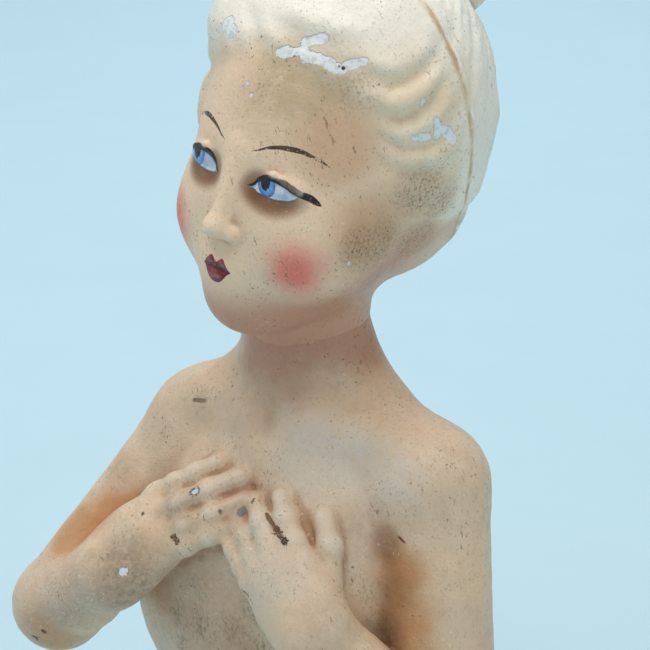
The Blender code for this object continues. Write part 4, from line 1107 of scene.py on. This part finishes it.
BODY_MARKS = [
    ((7.9, -25.0, 115.4), (12.3, -26.9, 113.1), 0.55, lin(128, 92, 54)), ((12.3, -26.9, 113.1), (16.4, -29.1, 111.8), 0.85, BR), ((15.6, -28.8, 112.0), (16.8, -29.4, 111.7), 0.8, lin(70, 44, 24)),
    ((-16.6, -30.5, 105.4), (-15.6, -30.7, 104.6), 1.0, BR), ((-46.1, -42.4, 94.0), (-46.2, -42.5, 92.8), 0.5, DK),
    ((-28.4, -37.7, 95.2), (-27.0, -37.7, 96.2), 1.0, WHITE), ((-14.0, -25.9, 116.5), (-13.2, -25.7, 117.1), 0.95, lin(96, 96, 92)), ((-14.0, -25.9, 116.5), (-13.2, -25.7, 117.1), 0.7, lin(214, 218, 220)),
    ((-0.6, -24.4, 113.7), (0.4, -24.2, 114.6), 0.85, GREY), ((2.7, -23.9, 117.2), (3.0, -23.5, 118.3), 0.4, DK),
    ((-0.3, -19.5, 119.4), (0.4, -19.6, 118.6), 0.6, lin(160, 122, 80)), ((-5.5, -26.3, 113.2), (-5.5, -26.3, 113.6), 0.7, lin(120, 106, 90)), ((-5.5, -26.3, 113.2), (-5.5, -26.3, 113.6), 0.4, lin(206, 200, 188)),
    ((6.0, -32.5, 97.6), (10.0, -34.5, 97.2), 0.35, BR), ((10.6, -34.7, 97.0), (11.6, -35.1, 96.2), 0.5, BR), ((-26.8, -31.1, 110.0), (-26.6, -31.1, 109.4), 0.4, BR),
    ((-32.8, -40.2, 99.4), (-32.2, -40.2, 98.8), 0.45, BR), ((-52.3, -41.5, 74.5), (-52.0, -41.5, 73.9), 0.5, BR), ((-55.7, -41.0, 71.7), (-55.2, -41.0, 71.2), 0.6, BR),
    ((-50.0, -41.6, 82.0), (-49.6, -41.6, 81.0), 0.35, BR), ((-26.6, -9.0, 133.6), (-23.0, -9.6, 134.4), 0.5, lin(140, 118, 92)),
    ((38.4, -11.8, 112.2), (40.6, -12.3, 111.0), 0.3, lin(120, 72, 34)), ((0.0, -11.9, 155.4), (9.2, -8.4, 157.6), 0.25, lin(150, 84, 60)), ((9.2, -8.4, 157.6), (14.6, -0.6, 159.4), 0.22, lin(150, 84, 60)),
]
# olive streaks of grime on the belly: place, radius, strength
GRIME = [((-22, -24, 80), 7.0, 0.8), ((-13, -26, 79), 8.0, 0.9), ((-3, -27, 82), 7.0, 0.8), ((3, -26, 88), 6.0, 0.7), ((-14, -26, 90), 6.0, 0.6), ((-8, -25, 72), 9.0, 0.8), ((5, -25, 78), 6.0, 0.7), ((-20, -23, 72), 6.0, 0.6),
         ((33, -14, 97), 6.0, 0.5), ((36, -14, 88), 7.0, 0.6), ((-44, -42, 80), 7.0, 0.4), ((-24, -9, 134), 4.0, 0.6), ((30, 24, 80), 12, 0.5), ((-20, 26, 110), 14, 0.5)]


# the paint materials carry painted light and shade along with the real dirt and wear
MAT_HEAD = plaster_paint("aged_face_and_hair_paint_and_painted_light", head=True)
MAT_HEAD_BACK = MAT_HEAD
MAT_BODY = plaster_paint("aged_skin_paint_and_painted_light")

PIECES = [
    ("head_front_look", h_front, MAT_HEAD, "head_front_casting", "skin_paint"),
    ("head_back_look", h_back, MAT_HEAD, "head_back_casting", "hair_paint"),
    ("hair_bun_look", knot, MAT_HEAD, "hair_bun_casting", "hair_paint"),
    ("torso_front_look", front, MAT_BODY, "torso_front_casting", "skin_paint"),
    ("torso_back_look", back_, MAT_BODY, "torso_back_casting", "skin_paint"),
    ("right_forearm_look", arm_r, MAT_BODY, "right_forearm_casting", "skin_paint"),
    ("left_forearm_look", arm_l, MAT_BODY, "left_forearm_casting", "skin_paint"),
]
for name, (D_, T_), mat, node, slot in PIECES:
    o = piece(name, D_, T_, mat)
    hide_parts(node)
    print(name, len(T_), "triangles")


# ---------------------------------------------------------------- carried-over CAD pieces
def wood(name):
    n = Nodes(name)
    x, y, z = n.xyz(n.P)
    grain = n.pack(n.mul(x, 0.12), y, n.mul(z, 0.9))
    a = n.noise(2.6, 5, 0.6, grain, 0.6)
    b = n.noise(0.7, 3, 0.6, n.pack(n.mul(x, 0.05), y, z))
    col = n.mix(n.ramp(a, 0.35, 0.65), lin(196, 150, 98), lin(150, 102, 58))
    col = n.mix(n.mul(n.ramp(b, 0.55, 0.7), 0.5), col, lin(112, 74, 40))
    n.set(Base_Color=col, Roughness=n.ramp(a, 0.3, 0.7, 0.6, 0.8), Normal=n.bump(n.add(a, b), 0.15, 0.6))
    return n.m


def felt(name):
    n = Nodes(name)
    f = n.noise(0.35, 5, 0.8, warp=1.2)
    g = n.noise(2.5, 3)
    col = n.mix(n.ramp(f, 0.3, 0.7), lin(38, 76, 48), lin(66, 104, 70))
    col = n.mix(n.mul(n.ramp(g, 0.5, 0.7), 0.4), col, lin(90, 100, 78))
    n.set(Base_Color=col, Roughness=0.95, Normal=n.bump(f, 0.25, 0.9))
    n.bsdf.inputs["Sheen Weight"].default_value = 0.5
    n.bsdf.inputs["Sheen Roughness"].default_value = 0.6
    return n.m


def steel(name):
    n = Nodes(name)
    a, b = n.noise(1.2, 5, 0.7), n.noise(4, 3)
    col = n.mix(n.ramp(b, 0.48, 0.66), lin(128, 126, 122), lin(120, 74, 44))
    n.set(Base_Color=col, Metallic=0.9, Roughness=n.ramp(a, 0.3, 0.7, 0.32, 0.6), Normal=n.bump(a, 0.05, 0.5))
    return n.m


def scrim(name):
    n = Nodes(name)
    x, y, z = n.xyz(n.P)
    wx = n.m1("SINE", n.mul(n.add(y, n.mul(n.noise(3, 2), 0.8)), 3.9))
    wz = n.m1("SINE", n.mul(n.add(z, n.mul(n.noise(3.4, 2), 0.8)), 3.9))
    weave = n.mx(wx, wz)
    col = n.mix(n.ramp(weave, -0.2, 0.8), lin(206, 200, 188), lin(150, 126, 88))
    n.set(Base_Color=col, Roughness=0.95, Normal=n.bump(weave, 0.3, 0.9))
    return n.m


def raw_plaster(name):
    n = Nodes(name)
    a, b = n.noise(1.0, 5, 0.7), n.noise(7, 3)
    col = n.mix(n.ramp(b, 0.35, 0.65), lin(232, 228, 218), lin(212, 204, 190))
    n.set(Base_Color=col, Roughness=n.ramp(a, 0.3, 0.7, 0.85, 0.98), Normal=n.bump(n.add(a, n.ramp(n.cells(1.8), 0.12, 0.3)), 0.2, 0.8))
    return n.m


WOOD, FELT, STEEL, SCRIM, RAW = wood("raw_pine"), felt("green_felt"), steel("rusty_steel"), scrim("plaster_soaked_scrim"), raw_plaster("raw_plaster")
for node, mat in {
    "neck_plaster_plug": RAW, "neck_rod": STEEL, "right_elbow_wire": STEEL, "left_elbow_wire": STEEL, "bun_wire": STEEL,
    "head_seam_scrim": SCRIM, "torso_seam_scrim_left": SCRIM, "torso_seam_scrim_right": SCRIM,
    "base_board": WOOD, "fixing_block_left": WOOD, "fixing_block_right": WOOD,
    "base_screw_left": STEEL, "base_screw_right": STEEL, "base_felt": FELT,
}.items():
    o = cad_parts[node]
    if o.material_slots:
        for sl in o.material_slots:
            sl.material = mat
    else:
        o.data.materials.append(mat)

# ---------------------------------------------------------------- studio
def plain(name, rgb, rough=0.85):
    n = Nodes(name)
    a = n.noise(60, 3)
    n.set(Base_Color=n.mix(n.ramp(a, 0.3, 0.7), rgb, tuple(c * 0.985 for c in rgb)), Roughness=rough)
    return n.m


FLOOR_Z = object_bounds()[0][2]
# a pale sweep: floor that curves up into the backdrop
prof = [(2.6, 0.0)] + [(-2.1 - 0.5 * math.sin(a), 0.5 - 0.5 * math.cos(a)) for a in np.linspace(0, math.pi / 2, 14)] + [(-2.6, 1.8)]
az = math.radians(35)
fwd, rgt = np.array([-math.sin(az), math.cos(az)]), np.array([math.cos(az), math.sin(az)])
verts, faces = [], []
for d, h in prof:
    for sx in (-3.2, 3.2):
        p = -fwd * d + rgt * sx
        verts.append((p[0], p[1], FLOOR_Z + h))
for i in range(len(prof) - 1):
    faces.append((2 * i, 2 * i + 1, 2 * i + 3, 2 * i + 2))
mesh = bpy.data.meshes.new("sweep")
mesh.from_pydata(verts, [], faces)
for p in mesh.polygons:
    p.use_smooth = True
sweep = bpy.data.objects.new("sweep", mesh)
bpy.context.scene.collection.objects.link(sweep)
mesh.materials.append(plain("pale_blue_paper", lin(190, 219, 230)))


def area(name, loc, target, size, power, rgb=(1, 1, 1)):
    d = bpy.data.lights.new(name, "AREA")
    d.energy, d.color, d.shape, d.size = power, rgb, "DISK", size
    o = bpy.data.objects.new(name, d)
    bpy.context.scene.collection.objects.link(o)
    o.location = loc
    o.rotation_euler = (Vector(loc) - Vector(target)).to_track_quat("Z", "Y").to_euler()
    return o


mid_ = (0.0, 0.0, 0.15)
area("top", (0.05, -0.30, 1.15), mid_, 0.8, 5.2, (1.0, 0.99, 0.96))
area("left_fill", (-0.85, -0.45, 0.55), mid_, 0.7, 1.9, (0.95, 0.98, 1.0))
area("right_fill", (0.95, -0.30, 0.55), mid_, 0.7, 1.9, (1.0, 0.99, 0.97))
area("backdrop_wash", (-0.27, 0.56, 1.30), (-0.33, 0.62, 0.0), 1.2, 6.4, (0.92, 0.97, 1.0))
area("far_wash", (-0.85, 1.30, 1.30), (-0.90, 1.36, 0.0), 1.2, 9.5, (0.92, 0.97, 1.0))
bpy.context.scene.view_settings.view_transform = "Standard"
w = bpy.data.worlds.new("studio")
w.use_nodes = True
w.node_tree.nodes["Background"].inputs[0].default_value = (0.94, 0.97, 1.0, 1)
w.node_tree.nodes["Background"].inputs[1].default_value = 0.30
bpy.context.scene.world = w

el = math.radians(18)
back = Vector((math.sin(az) * math.cos(el), -math.cos(az) * math.cos(el), math.sin(el)))
cam = bpy.data.cameras.new("camera")
cam.lens, cam.sensor_width, cam.clip_start, cam.clip_end = 137.8, 36.0, 0.01, 20.0
co = bpy.data.objects.new("camera", cam)
bpy.context.scene.collection.objects.link(co)
co.location = Vector((0.008, 0.0, 0.158)) + back * 0.620
co.rotation_euler = back.to_track_quat("Z", "Y").to_euler()
bpy.context.scene.camera = co
